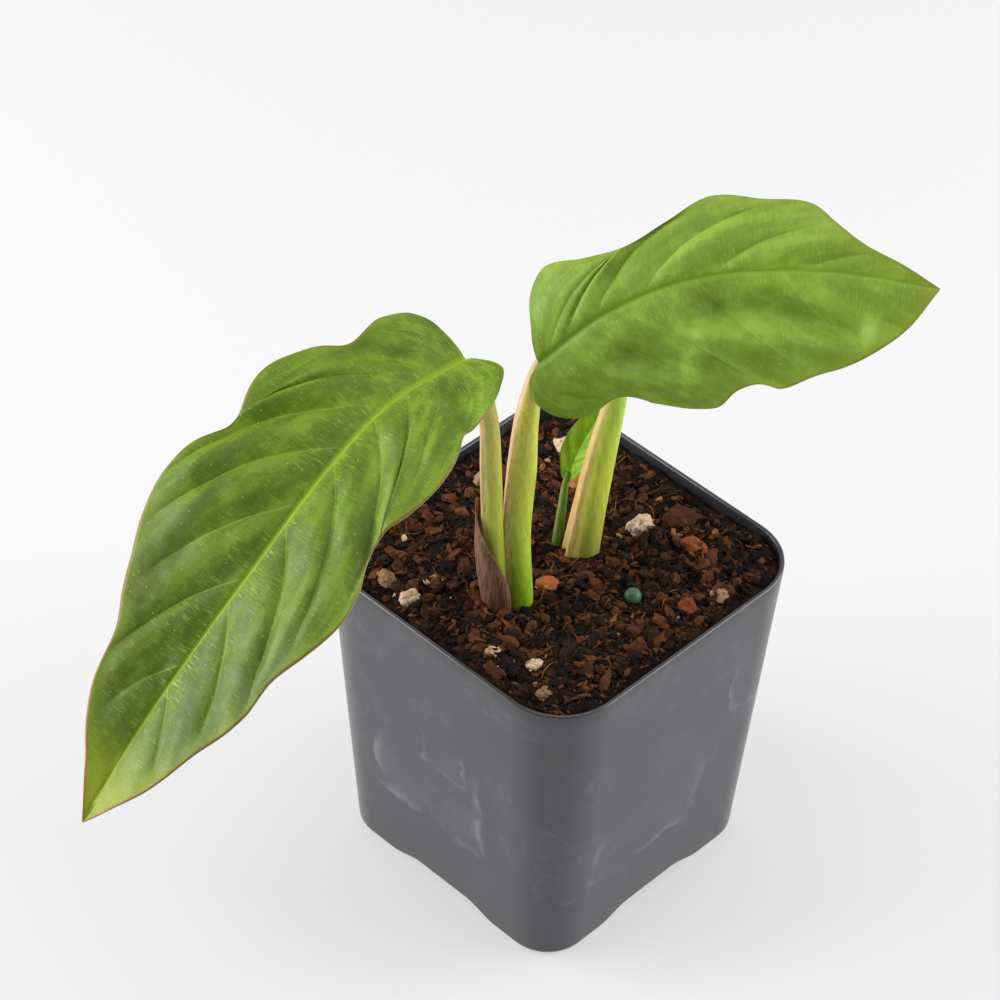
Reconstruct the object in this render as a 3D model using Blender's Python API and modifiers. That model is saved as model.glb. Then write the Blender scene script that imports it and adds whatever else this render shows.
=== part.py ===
"""A young peace lily in a square nursery pot, built as the pieces it comes apart into.

Lengths are in millimetres up to the moment a mesh or a curve is made, and in metres from there on.
The origin is the centre of the pot's foot on the surface it stands on, X and Y run along the pot's
sides and Z is up.
"""

import math

import bmesh
import bpy
import numpy as np

MM = 0.001
GAP = 0.3  # clearance between pieces that touch

# Pot: a thin moulded square cup with round corners
POT_HEIGHT = 63.5
POT_TOP_WIDTH = 60.0
POT_BOTTOM_WIDTH = 51.0
POT_TOP_CORNER = 11.2
POT_BOTTOM_CORNER = 7.7
WALL = 0.8
FOOT_ROUNDING = 1.2
ARCH_HEIGHT = 1.5  # how far the middle of each bottom edge, and the channel behind it, is raised
ARCH_HALF_WIDTH = 12.5
CHANNEL_OUTER_WIDTH = 36.0
CHANNEL_INNER_WIDTH = 24.0
CHANNEL_SLOPE = 4.0  # how much wider a side of the channel is at its foot
DRAIN_RADIUS = 2.5
DRAIN_OFFSET = 15.0
CORNER_STEPS = 5
SIDE_STOPS = (-0.62, -0.45, -0.3, -0.15, 0.0, 0.15, 0.3, 0.45, 0.62)

# Soil: fills the pot to just under its rim
SOIL_TOP = 62.0
SOIL_BOTTOM = WALL + ARCH_HEIGHT + GAP
SOIL_LUMP = 0.35
SOIL_SLOPE = 0.6  # how much lower its far corner is
SOIL_EDGE_DROP = 0.7
SOIL_FOOT_BEVEL = 1.5
SOIL_TOP_SCALES = (1.0, 0.93, 0.8, 0.66, 0.52, 0.38, 0.24, 0.12)

# Rhizome and roots: hidden in the soil under the two shoots
RHIZOME = (
    ((1.5, -17.0, 50.0), 2.6),
    ((1.5, -12.0, 51.5), 4.2),
    ((0.5, -4.0, 50.5), 3.8),
    ((0.0, 4.0, 51.5), 4.2),
    ((-0.5, 9.0, 50.0), 2.4),
)
ROOT_COUNT = 8
ROOT_RADIUS = 1.0
ROOT_CENTRE = (0.6, -4.0, 49.5)
ROOT_RING = (1.5, 9.0)  # how far from that centre the roots start, in x and in y
ROOT_REACH = (9.5, 1.5)  # how far out a root ends, and how much that varies from root to root
ROOT_DROP = (34.0, 5.0)
RHIZOME_STEP = 4.0
ROOT_STEP = 5.0

# Petioles: centre line points and radii, from the crown in the soil to the leaf
PETIOLE_SIDES = 2  # bevel resolution
PETIOLE_STEP = 4.5
SPACE_ABOVE_SOIL = 1.5
PETIOLES = {
    "petiole_left": (
        ((0.6, -14.3, 56.0), 1.25),
        ((0.3, -14.3, 62.0), 1.3),
        ((-2.2, -13.4, 76.0), 1.5),
        ((-4.0, -12.5, 87.5), 1.6),
        ((-5.9, -11.8, 98.0), 1.5),
        ((-7.4, -12.0, 103.6), 1.35),
        ((-9.0, -13.2, 106.3), 1.15),
    ),
    "petiole_right": (
        ((2.8, -11.7, 56.0), 1.55),
        ((2.6, -11.6, 62.0), 1.6),
        ((-0.5, -9.4, 75.0), 1.95),
        ((-2.2, -7.1, 85.5), 2.2),
        ((-3.6, -5.0, 94.5), 1.9),
        ((-4.7, -2.4, 99.2), 1.5),
        ((-5.4, -0.7, 101.8), 1.15),
    ),
    "petiole_back": (
        ((1.6, 3.2, 56.0), 2.3),
        ((1.5, 4.2, 62.0), 2.6),
        ((1.3, 6.8, 74.5), 2.4),
        ((1.4, 8.6, 84.0), 2.1),
        ((1.5, 10.4, 92.0), 1.8),
        ((1.6, 11.6, 96.6), 1.5),
        ((1.3, 12.9, 98.6), 1.2),
    ),
    "petiole_young": (
        ((-2.3, 2.2, 56.0), 0.8),
        ((-2.7, 2.6, 62.0), 0.8),
        ((-3.8, 4.6, 67.5), 0.75),
        ((-4.7, 6.1, 71.4), 0.65),
    ),
}

# Leaf blades. The midrib is a path from the petiole to the tip. An edge is the flat outline of one
# half, as (distance along the midrib, distance out from it), from the petiole to the tip; its first
# base_points points are the base lobe. Facing is the way the upper side looks. Fold is the slope of
# each half beside the midrib, and curl bends the left and right halves back down, both as parts of
# half_width.
BLADE_THICKNESS = 0.8
VEIN_CROWDING = 1.3
VEIN_BEND = 1.6
BASE_FADE = 3
BLADES = {
    "blade_left": {
        "midrib": (
            (-9.5, -13.5, 108.5),
            (-11.0, -29.5, 107.0),
            (-10.5, -44.5, 101.0),
            (-10.0, -58.0, 92.5),
            (-10.5, -70.5, 82.5),
            (-10.5, -83.0, 72.5),
            (-9.5, -95.5, 62.5),
        ),
        "facing": (0.0, 0.0, 1.0),
        "half_width": 22.0,
        "fold": 0.34,
        "curl": (0.2, 0.2),
        "base_points": 5,
        "left_edge": (
            (0.0, 0.0), (-1.2, 3.5), (-1.5, 7.5), (1.5, 10.8), (7.0, 14.2), (11.0, 14.6), (16.0, 17.6),
            (22.0, 19.2), (29.0, 18.4), (34.0, 16.6), (38.0, 16.6), (43.0, 19.6), (48.0, 20.6),
            (54.0, 19.4), (61.0, 17.0), (68.0, 16.4), (78.0, 12.2), (87.0, 7.8), (92.5, 3.4),
            (96.3, 0.0),
        ),
        "right_edge": (
            (0.0, 0.0), (-0.3, 4.0), (0.2, 8.5), (2.0, 11.5), (6.0, 13.4), (12.5, 12.4), (17.0, 15.8),
            (22.0, 18.8), (33.0, 17.4), (38.5, 20.6), (45.0, 21.8), (54.0, 20.4), (61.0, 17.0),
            (70.0, 12.0), (77.0, 10.6), (88.0, 4.5), (96.3, 0.0),
        ),
    },
    "blade_right": {
        "midrib": (
            (-4.5, -2.0, 103.5),
            (1.5, 6.0, 112.5),
            (9.5, 15.0, 119.0),
            (19.5, 23.5, 122.5),
            (30.5, 31.0, 124.0),
            (42.0, 39.0, 123.5),
        ),
        "facing": (0.46, -0.52, 0.7),
        "half_width": 18.0,
        "fold": 0.2,
        "curl": (0.8, 0.3),
        "base_points": 5,
        "left_edge": (
            (0.0, 0.0), (1.0, 2.5), (2.8, 5.5), (4.8, 9.0), (8.5, 11.8), (14.5, 9.6), (21.0, 8.4),
            (27.0, 10.2), (32.5, 13.0), (40.0, 11.8), (47.0, 11.0), (51.0, 8.0), (56.0, 4.8),
            (62.0, 2.6), (68.1, 0.0),
        ),
        "right_edge": (
            (0.0, 0.0), (-2.5, 1.2), (-4.0, 3.5), (-3.4, 7.0), (1.0, 11.3), (7.5, 12.2), (13.0, 15.6),
            (21.0, 19.4), (29.0, 20.2), (34.5, 18.2), (38.5, 17.6), (43.0, 18.4), (50.0, 16.2),
            (58.0, 12.8), (63.5, 8.0), (68.1, 0.0),
        ),
    },
    "blade_back": {
        "midrib": (
            (1.1, 13.4, 100.6),
            (1.4, 20.5, 104.0),
            (1.2, 28.5, 104.8),
            (0.6, 36.0, 102.5),
            (-0.4, 42.5, 98.5),
        ),
        "facing": (0.1, -0.1, 1.0),
        "half_width": 13.0,
        "fold": 0.3,
        "curl": (0.25, 0.25),
        "base_points": 3,
        "left_edge": (
            (0.0, 0.0), (-1.2, 3.0), (1.0, 7.0), (7.0, 10.0), (14.0, 10.5), (22.0, 7.8), (28.0, 3.4),
            (31.1, 0.0),
        ),
        "right_edge": (
            (0.0, 0.0), (-1.0, 3.0), (1.5, 7.4), (7.0, 10.2), (13.0, 10.8), (21.5, 8.0), (28.0, 3.2),
            (31.1, 0.0),
        ),
    },
    "blade_young": {
        "midrib": (
            (-4.8, 6.4, 72.4),
            (-4.2, 8.0, 78.0),
            (-2.9, 10.3, 84.0),
            (-1.6, 13.0, 89.5),
        ),
        "facing": (0.45, -0.8, 0.3),
        "half_width": 3.0,
        "fold": 0.45,
        "curl": (0.1, 0.1),
        "base_points": 2,
        "left_edge": ((0.0, 0.0), (0.6, 0.7), (2.5, 1.6), (8.0, 2.9), (13.5, 2.2), (19.2, 0.0)),
        "right_edge": ((0.0, 0.0), (0.6, 0.7), (2.5, 1.6), (8.0, 2.7), (13.5, 2.0), (19.2, 0.0)),
    },
}
BLADE_GRIDS = {
    "blade_left": (20, 5),
    "blade_right": (18, 5),
    "blade_back": (12, 4),
    "blade_young": (8, 2),
}

# Dried sheath: a papery strip, curved round the left petiole
SHEATH_HEIGHT = 20.0
SHEATH_RADIUS = 2.1
SHEATH_HALF_ANGLE = 75.0
SHEATH_TURN = 215.0
SHEATH_THICKNESS = 0.35
SHEATH_SWELL = 0.6
SHEATH_TIP = 0.06  # the part of its width left at the tip
SHEATH_STEPS = 9

# Pieces lying in pockets of the soil: (x, y, length, width, height, turn in degrees)
PUMICE = (
    (4.1, 15.9, 5.6, 4.2, 4.0, 70.0),
    (-15.6, -24.3, 4.2, 3.2, 3.0, 20.0),
    (-9.6, -24.6, 4.0, 3.4, 3.0, 110.0),
    (7.9, -23.4, 3.2, 2.8, 2.6, 40.0),
    (20.6, -24.0, 3.2, 2.6, 2.4, 130.0),
    (14.6, -20.6, 2.9, 2.6, 2.4, 10.0),
    (24.6, 13.2, 3.3, 3.0, 2.8, 60.0),
    (-22.6, 4.4, 3.0, 2.6, 2.4, 90.0),
    (-18.5, 21.0, 4.4, 3.6, 3.2, 35.0),
)
BARK = (
    (7.6, 22.0, 5.0, 4.2, 2.8, 50.0),
    (13.6, 18.6, 4.6, 3.2, 2.4, 155.0),
    (-6.6, -1.6, 4.6, 2.6, 2.2, 100.0),
    (12.0, -26.6, 3.4, 2.0, 1.8, 15.0),
    (3.4, -5.4, 3.4, 3.0, 2.2, 60.0),
    (22.6, 7.2, 3.2, 2.6, 2.0, 120.0),
    (23.6, -5.2, 3.4, 2.8, 2.0, 75.0),
    (-10.0, 16.0, 4.8, 3.0, 2.2, 25.0),
)
PRILL = (14.7, 2.7, 2.9)
SUNK = 0.32  # the part of a piece's height that is below the soil's top
CHIP_BEVEL = 0.18
CHIP_TAPER = 0.3
STONE_ROUGHNESS = 0.16

COLOURS = {
    "pot": ("#4A4A4E", 0.42),
    "soil": ("#2E1A14", 0.95),
    "rhizome_and_roots": ("#D9C9A8", 0.7),
    "petiole": ("#8A9A3C", 0.45),
    "blade": ("#3F6B22", 0.4),
    "dried_sheath": ("#6B4A44", 0.85),
    "pumice": ("#CDBBA6", 0.95),
    "bark": ("#A8562E", 0.9),
    "fertiliser_prill": ("#7FA08A", 0.4),
}


# ---------------------------------------------------------------------------------------------
# Scene, materials and meshes
# ---------------------------------------------------------------------------------------------

def clear_scene():
    for obj in list(bpy.data.objects):
        bpy.data.objects.remove(obj, do_unlink=True)


def new_collection(name):
    collection = bpy.data.collections.new(name)
    bpy.context.scene.collection.children.link(collection)
    return collection


def linear(hex_colour):
    """The linear RGBA value of an sRGB hex colour."""
    channels = [int(hex_colour[i : i + 2], 16) / 255 for i in (1, 3, 5)]
    return [c / 12.92 if c <= 0.04045 else ((c + 0.055) / 1.055) ** 2.4 for c in channels] + [1.0]


def material_for(kind, name):
    hex_colour, roughness = COLOURS[kind]
    material = bpy.data.materials.new(name)
    material.use_nodes = True
    shader = material.node_tree.nodes["Principled BSDF"]
    shader.inputs["Base Color"].default_value = linear(hex_colour)
    shader.inputs["Roughness"].default_value = roughness
    shader.inputs["Metallic"].default_value = 0.0
    material.diffuse_color = linear(hex_colour)
    return material


def finish(obj, kind, smooth_angle=None):
    """Gives a piece its material and, where an angle is given, smooth shading below that angle."""
    obj.data.materials.append(material_for(kind, obj.name))
    if smooth_angle is not None:
        obj.data.shade_smooth()
        obj.data.set_sharp_from_angle(angle=math.radians(smooth_angle))
    return obj


def add_object(name, mesh, collection):
    obj = bpy.data.objects.new(name, mesh)
    collection.objects.link(obj)
    if collection is CUTTERS:
        obj.hide_render = True
        obj.display_type = "WIRE"
    return obj


def mesh_from_bmesh(name, form):
    mesh = bpy.data.meshes.new(name)
    form.to_mesh(mesh)
    form.free()
    return mesh


def mesh_from_grid(name, points, faces):
    """A mesh from points in millimetres, with doubled points merged and faces turned outwards."""
    mesh = bpy.data.meshes.new(name)
    mesh.from_pydata((np.asarray(points) * MM).tolist(), [], faces)
    form = bmesh.new()
    form.from_mesh(mesh)
    bmesh.ops.remove_doubles(form, verts=form.verts, dist=0.01 * MM)
    bmesh.ops.recalc_face_normals(form, faces=form.faces)
    form.to_mesh(mesh)
    form.free()
    return mesh


# ---------------------------------------------------------------------------------------------
# Curves and lofts
# ---------------------------------------------------------------------------------------------

class Path:
    """A smooth path through points: cubic Hermite pieces over the chord length."""

    def __init__(self, points):
        self.points = np.asarray(points, float)
        steps = np.linalg.norm(np.diff(self.points, axis=0), axis=1)
        self.stops = np.concatenate([[0.0], np.cumsum(steps)])
        self.slopes = np.gradient(self.points, self.stops, axis=0)
        self.length = self.stops[-1]

    def piece(self, at):
        at = np.asarray(at, float)
        index = np.clip(np.searchsorted(self.stops, at, side="right") - 1, 0, len(self.stops) - 2)
        span = self.stops[index + 1] - self.stops[index]
        share = (at - self.stops[index]) / span
        return index, span[..., None], share[..., None]

    def place(self, at):
        i, h, x = self.piece(at)
        start = (1 + 2 * x) * (1 - x) ** 2 * self.points[i] + x * (1 - x) ** 2 * h * self.slopes[i]
        end = x**2 * (3 - 2 * x) * self.points[i + 1] + x**2 * (x - 1) * h * self.slopes[i + 1]
        return start + end

    def heading(self, at):
        i, h, x = self.piece(at)
        change = 6 * x * (1 - x) * (self.points[i + 1] - self.points[i]) / h
        slope = (3 * x**2 - 4 * x + 1) * self.slopes[i] + (3 * x**2 - 2 * x) * self.slopes[i + 1]
        return unit(change + slope)


def unit(vectors):
    return vectors / np.linalg.norm(vectors, axis=-1, keepdims=True)


def rounded_square(width, corner, height):
    """A ring round a square with round corners: straight sides with stops, then a quarter turn."""
    half = width / 2
    ring = []
    for quarter in range(4):
        turn = quarter * math.pi / 2
        for stop in SIDE_STOPS:
            ring.append((half, stop * (half - corner), turn))
        for step in range(CORNER_STEPS + 1):
            angle = step / CORNER_STEPS * math.pi / 2
            x = half - corner + corner * math.cos(angle)
            y = half - corner + corner * math.sin(angle)
            ring.append((x, y, turn))
    x, y, turn = np.array(ring).T
    return np.stack(
        [
            x * np.cos(turn) - y * np.sin(turn),
            x * np.sin(turn) + y * np.cos(turn),
            np.full_like(x, height),
        ],
        axis=1,
    )


def loft(rings):
    """Points and faces of a closed body through rings of equal counts, closed by a fan at each end."""
    count = len(rings[0])
    faces = []
    for level in range(len(rings) - 1):
        for i in range(count):
            j = (i + 1) % count
            low, high = level * count, (level + 1) * count
            faces.append((low + i, low + j, high + j, high + i))
    middles = []
    for ring, first in ((rings[0], 0), (rings[-1], (len(rings) - 1) * count)):
        middle = count * len(rings) + len(middles)
        middles.append(ring.mean(axis=0))
        faces.extend((middle, first + i, first + (i + 1) % count) for i in range(count))
    return np.concatenate([*rings, middles]), faces


def tube(name, points_and_radii, collection, step, extra=0.0, ends_above=None):
    """A round tube along a smooth path, as a curve object with a bevel and filled caps.

    Extra widens it all round, for the space it needs, and ends_above ends it over that height.
    """
    path = Path([point for point, _ in points_and_radii])
    at = np.linspace(0, path.length, max(3, int(path.length / step) + 1))
    places = path.place(at)
    if ends_above is not None:
        at = at[: np.argmax(places[:, 2] > ends_above) + 1]
        places = places[: len(at)]
    widths = np.interp(at, path.stops, [radius for _, radius in points_and_radii]) + extra
    if extra:
        places[0] -= path.heading(at[:1])[0] * extra
        places[-1] += path.heading(at[-1:])[0] * extra
    data = bpy.data.curves.new(name, "CURVE")
    data.dimensions = "3D"
    data.bevel_depth = MM
    data.bevel_resolution = PETIOLE_SIDES
    data.use_fill_caps = True
    spline = data.splines.new("POLY")
    spline.points.add(len(at) - 1)
    for point, place, width in zip(spline.points, places, widths):
        point.co = (*(place * MM), 1.0)
        point.radius = width
    return add_object(name, data, collection)


def as_mesh(curve_object, collection):
    """Turns a tube into a mesh object with its caps welded, so that it can be cut or joined."""
    bpy.context.view_layer.update()
    graph = bpy.context.evaluated_depsgraph_get()
    name = curve_object.name
    mesh = bpy.data.meshes.new_from_object(curve_object.evaluated_get(graph))
    place = curve_object.matrix_world.copy()
    bpy.data.objects.remove(curve_object, do_unlink=True)
    form = bmesh.new()
    form.from_mesh(mesh)
    bmesh.ops.remove_doubles(form, verts=form.verts, dist=0.001 * MM)
    bmesh.ops.recalc_face_normals(form, faces=form.faces)
    form.to_mesh(mesh)
    form.free()
    obj = add_object(name, mesh, collection)
    obj.matrix_world = place
    return obj


def boolean(obj, operation, collection):
    modifier = obj.modifiers.new(operation.title(), "BOOLEAN")
    modifier.operation = operation
    modifier.solver = "EXACT"
    modifier.operand_type = "COLLECTION"
    modifier.collection = collection
    return modifier


# ---------------------------------------------------------------------------------------------
# Pot
# ---------------------------------------------------------------------------------------------

def smooth_step(share):
    share = np.clip(share, 0.0, 1.0)
    return share * share * (3 - 2 * share)


def arch(ring):
    """How much a bottom ring is raised: fully at the middle of each side, not at all at its corners."""
    along = np.minimum(np.abs(ring[:, 0]), np.abs(ring[:, 1]))
    return ARCH_HEIGHT * smooth_step((ARCH_HALF_WIDTH - along) / (0.55 * ARCH_HALF_WIDTH))


def bottom_rings(base_width, base_corner, lift):
    """Rings of the pot's bottom from its edge inwards: corner feet, a raised channel, a centre pad."""
    rings = []
    for width in (base_width, CHANNEL_OUTER_WIDTH + CHANNEL_SLOPE):
        ring = rounded_square(width, base_corner, lift)
        ring[:, 2] += arch(ring)
        rings.append(ring)
    rings.append(rounded_square(CHANNEL_OUTER_WIDTH, base_corner, lift + ARCH_HEIGHT))
    rings.append(rounded_square(CHANNEL_INNER_WIDTH, base_corner, lift + ARCH_HEIGHT))
    rings.append(rounded_square(CHANNEL_INNER_WIDTH - CHANNEL_SLOPE, base_corner, lift))
    return rings


def make_pot():
    foot_width = POT_BOTTOM_WIDTH - 2 * FOOT_ROUNDING
    foot_corner = POT_BOTTOM_CORNER - FOOT_ROUNDING
    outside = list(reversed(bottom_rings(foot_width, foot_corner, 0.0)))
    edge = rounded_square(POT_BOTTOM_WIDTH, POT_BOTTOM_CORNER, FOOT_ROUNDING)
    edge[:, 2] += arch(edge)
    outside.append(edge)
    outside.append(rounded_square(POT_TOP_WIDTH, POT_TOP_CORNER, POT_HEIGHT))
    inside = [rounded_square(POT_TOP_WIDTH - 2 * WALL, POT_TOP_CORNER - WALL, POT_HEIGHT)]
    inner_edge = rounded_square(
        POT_BOTTOM_WIDTH - 2 * WALL, POT_BOTTOM_CORNER - WALL, FOOT_ROUNDING + WALL
    )
    inner_edge[:, 2] += arch(inner_edge)
    inside.append(inner_edge)
    inside.extend(bottom_rings(foot_width - 2 * WALL, foot_corner, WALL))
    points, faces = loft(outside + inside)
    pot = add_object("pot", mesh_from_grid("pot", points, faces), PARTS)
    drains = bpy.data.collections.new("drain_cutters")
    CUTTERS.children.link(drains)
    for quarter in range(4):
        angle = quarter * math.pi / 2
        form = bmesh.new()
        bmesh.ops.create_cone(
            form,
            cap_ends=True,
            segments=16,
            radius1=DRAIN_RADIUS * MM,
            radius2=DRAIN_RADIUS * MM,
            depth=4 * ARCH_HEIGHT * MM,
        )
        mesh = mesh_from_bmesh("drain", form)
        drain = bpy.data.objects.new(f"drain_{quarter + 1}", mesh)
        drains.objects.link(drain)
        drain.hide_render = True
        drain.display_type = "WIRE"
        drain.location = (
            DRAIN_OFFSET * math.cos(angle) * MM,
            DRAIN_OFFSET * math.sin(angle) * MM,
            ARCH_HEIGHT * MM,
        )
    boolean(pot, "DIFFERENCE", drains)
    finish(pot, "pot", smooth_angle=35)


# ---------------------------------------------------------------------------------------------
# Plant
# ---------------------------------------------------------------------------------------------

def root_path(index):
    """A root that leaves the rhizome sideways and turns down, evenly spaced round it."""
    angle = (index + 0.35) / ROOT_COUNT * 2 * math.pi
    out = np.array([math.cos(angle), math.sin(angle), 0.0])
    start = np.array(ROOT_CENTRE) + out * (*ROOT_RING, 0.0)
    reach = ROOT_REACH[0] + ROOT_REACH[1] * math.sin(5 * angle)
    drop = ROOT_DROP[0] + ROOT_DROP[1] * math.cos(3 * angle)
    bend = start + out * reach * 0.55 - np.array([0.0, 0.0, drop * 0.2])
    end = start + out * reach - np.array([0.0, 0.0, drop])
    middle = (bend + end) / 2 + out * 1.5
    return [
        (tuple(start), ROOT_RADIUS * 1.3),
        (tuple(bend), ROOT_RADIUS),
        (tuple(middle), ROOT_RADIUS * 0.9),
        (tuple(end), ROOT_RADIUS * 0.6),
    ]


def make_rhizome():
    rhizome = as_mesh(tube("rhizome_and_roots", RHIZOME, PARTS, RHIZOME_STEP), PARTS)
    roots = bpy.data.collections.new("root_unions")
    CUTTERS.children.link(roots)
    for index in range(ROOT_COUNT):
        course = root_path(index)
        root = as_mesh(tube(f"root_{index + 1}", course, CUTTERS, ROOT_STEP), CUTTERS)
        roots.objects.link(root)
        CUTTERS.objects.unlink(root)
        as_mesh(tube(f"root_space_{index + 1}", course, CUTTERS, ROOT_STEP, GAP), CUTTERS)
    as_mesh(tube("rhizome_space", RHIZOME, CUTTERS, RHIZOME_STEP, GAP), CUTTERS)
    boolean(rhizome, "UNION", roots)
    finish(rhizome, "rhizome_and_roots", smooth_angle=50)


def make_petioles():
    for name, course in PETIOLES.items():
        petiole = tube(name, course, PARTS, PETIOLE_STEP)
        petiole.data.materials.append(material_for("petiole", name))
        top = SOIL_TOP + SPACE_ABOVE_SOIL
        space = tube(name + "_space", course, CUTTERS, PETIOLE_STEP, GAP, ends_above=top)
        as_mesh(space, CUTTERS)


def blade_points(blade, along, across):
    """The middle surface of a blade on a grid whose lines across it follow the side veins.

    Each half is a Coons patch between the midrib, the margin and the base edge. It is worked out
    flat, as distances along and out from the midrib, and then laid on the midrib's path: out along
    the blade's own sideways direction and up by fold and curl.
    """
    midrib = Path(blade["midrib"])
    v = np.linspace(0, 1, along + 1)[:, None]
    u = np.linspace(0, 1, across + 1)[None, :]
    bent_u = u**VEIN_BEND
    fade = (1 - v) ** BASE_FADE
    halves = []
    for side, edge_name, curl in zip((-1, 1), ("left_edge", "right_edge"), blade["curl"]):
        edge = Path(blade[edge_name])
        corner_at = edge.stops[blade["base_points"] - 1]
        margin = edge.place(corner_at + (edge.length - corner_at) * v)
        base = edge.place(corner_at * u)
        corner = edge.place(np.array([corner_at]))[0]
        far = (1 - bent_u) * midrib.length * v**VEIN_CROWDING + bent_u * margin[..., 0]
        far = far + fade * (base[..., 0] - bent_u * corner[0])
        out = side * (u * margin[..., 1] + fade * (base[..., 1] - u * corner[1]))
        share = np.abs(out) / blade["half_width"]
        rise = blade["half_width"] * (blade["fold"] * share - curl * share**2)
        halves.append((far, out, rise))
    far, out, rise = (
        np.concatenate([left[:, :0:-1], right], axis=1) for left, right in zip(*halves)
    )
    on_rib = np.clip(far, 0, midrib.length)
    heading = midrib.heading(on_rib)
    facing = np.array(blade["facing"])
    normal = unit(facing - (heading @ facing)[..., None] * heading)
    sideways = np.cross(heading, normal)
    places = midrib.place(on_rib) + (far - on_rib)[..., None] * heading
    return places + out[..., None] * sideways + rise[..., None] * normal


def grid_faces(rows, columns):
    return [
        (r * columns + c, r * columns + c + 1, (r + 1) * columns + c + 1, (r + 1) * columns + c)
        for r in range(rows - 1)
        for c in range(columns - 1)
    ]


def thicken(obj, thickness, offset):
    solid = obj.modifiers.new("Thickness", "SOLIDIFY")
    solid.thickness = thickness * MM
    solid.offset = offset


def make_blades():
    for name, blade in BLADES.items():
        points = blade_points(blade, *BLADE_GRIDS[name])
        rows, columns = points.shape[:2]
        mesh = mesh_from_grid(name, points.reshape(-1, 3), grid_faces(rows, columns))
        obj = add_object(name, mesh, PARTS)
        thicken(obj, BLADE_THICKNESS, 0.0)
        finish(obj, "blade", smooth_angle=50)


def make_dried_sheath():
    """A pointed strip wrapped part of the way round the left petiole, widest near the soil."""
    petiole = Path([place for place, _ in PETIOLES["petiole_left"]])
    start = petiole.stops[1] + 2 * GAP
    v = np.linspace(0, 1, SHEATH_STEPS)[:, None]
    u = np.linspace(-1, 1, SHEATH_STEPS)[None, :]
    centre = petiole.place(start + SHEATH_HEIGHT * v)
    reach = np.radians(SHEATH_HALF_ANGLE) * np.clip(1 - v**3, SHEATH_TIP, 1)
    angle = np.radians(SHEATH_TURN) + reach * u
    radius = SHEATH_RADIUS + SHEATH_SWELL * np.sin(math.pi * v)
    points = centre + np.stack(
        [radius * np.cos(angle), radius * np.sin(angle), np.zeros_like(angle)], axis=-1
    )
    faces = grid_faces(SHEATH_STEPS, SHEATH_STEPS)
    mesh = mesh_from_grid("dried_sheath", points.reshape(-1, 3), faces)
    obj = add_object("dried_sheath", mesh, PARTS)
    thicken(obj, SHEATH_THICKNESS, 0.0)
    finish(obj, "dried_sheath", smooth_angle=50)


# ---------------------------------------------------------------------------------------------
# Soil and what lies in it
# ---------------------------------------------------------------------------------------------

def soil_height(x, y):
    """The soil's top: low rounded lumps, a little lower towards the far corner."""
    lumps = np.sin(x / 5.1 + 0.7) * np.cos(y / 6.3 - 0.4) + 0.6 * np.sin((x + y) / 3.4)
    return SOIL_TOP + SOIL_LUMP * lumps - SOIL_SLOPE * np.clip((y - x) / POT_TOP_WIDTH, 0, 1)


def stone(name, size, grow, collection):
    """A rounded, uneven stone: a ball pushed in and out by a few fixed waves, then stretched."""
    form = bmesh.new()
    bmesh.ops.create_icosphere(form, subdivisions=2, radius=0.5)
    for vert in form.verts:
        x, y, z = vert.co
        wave = math.sin(7 * x + size[0]) + math.sin(8 * y + 2 * size[1]) + math.sin(6 * z + size[2])
        vert.co *= 1 + STONE_ROUGHNESS * wave / 2
        vert.co = [c * (s + 2 * grow) * MM for c, s in zip(vert.co, size)]
    return add_object(name, mesh_from_bmesh(name, form), collection)


def chip(name, size, grow, collection):
    """A flat chip: a box with rounded edges, narrower at one end."""
    form = bmesh.new()
    bmesh.ops.create_cube(form, size=1.0)
    for vert in form.verts:
        taper = 1.0 - CHIP_TAPER * (vert.co.x > 0)
        x, y, z = vert.co.x, vert.co.y * taper, vert.co.z
        vert.co = [c * (s + 2 * grow) * MM for c, s in zip((x, y, z), size)]
    bmesh.ops.bevel(
        form,
        geom=form.edges[:],
        offset=CHIP_BEVEL * size[2] * MM,
        segments=1,
        affect="EDGES",
    )
    return add_object(name, mesh_from_bmesh(name, form), collection)


def ball(name, size, grow, collection):
    form = bmesh.new()
    bmesh.ops.create_uvsphere(
        form, u_segments=12, v_segments=8, radius=(size[0] / 2 + grow) * MM
    )
    return add_object(name, mesh_from_bmesh(name, form), collection)


def lay(kind, name, make, x, y, size, turn):
    """Makes a piece and the pocket it lies in, both a little way down in the soil's top."""
    height = soil_height(x, y) + size[2] * (0.5 - SUNK)
    piece = make(name, size, 0.0, PARTS)
    pocket = make(name + "_space", size, GAP, CUTTERS)
    for obj in (piece, pocket):
        obj.location = (x * MM, y * MM, height * MM)
        obj.rotation_euler = (0.0, 0.0, math.radians(turn))
    finish(piece, kind, smooth_angle=40)


def make_pieces_in_soil():
    for index, (x, y, length, width, height, turn) in enumerate(PUMICE, start=1):
        lay("pumice", f"pumice_{index}", stone, x, y, (length, width, height), turn)
    for index, (x, y, length, width, height, turn) in enumerate(BARK, start=1):
        lay("bark", f"bark_chip_{index}", chip, x, y, (length, width, height), turn)
    x, y, diameter = PRILL
    lay("fertiliser_prill", "fertiliser_prill", ball, x, y, (diameter,) * 3, 0.0)


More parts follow.
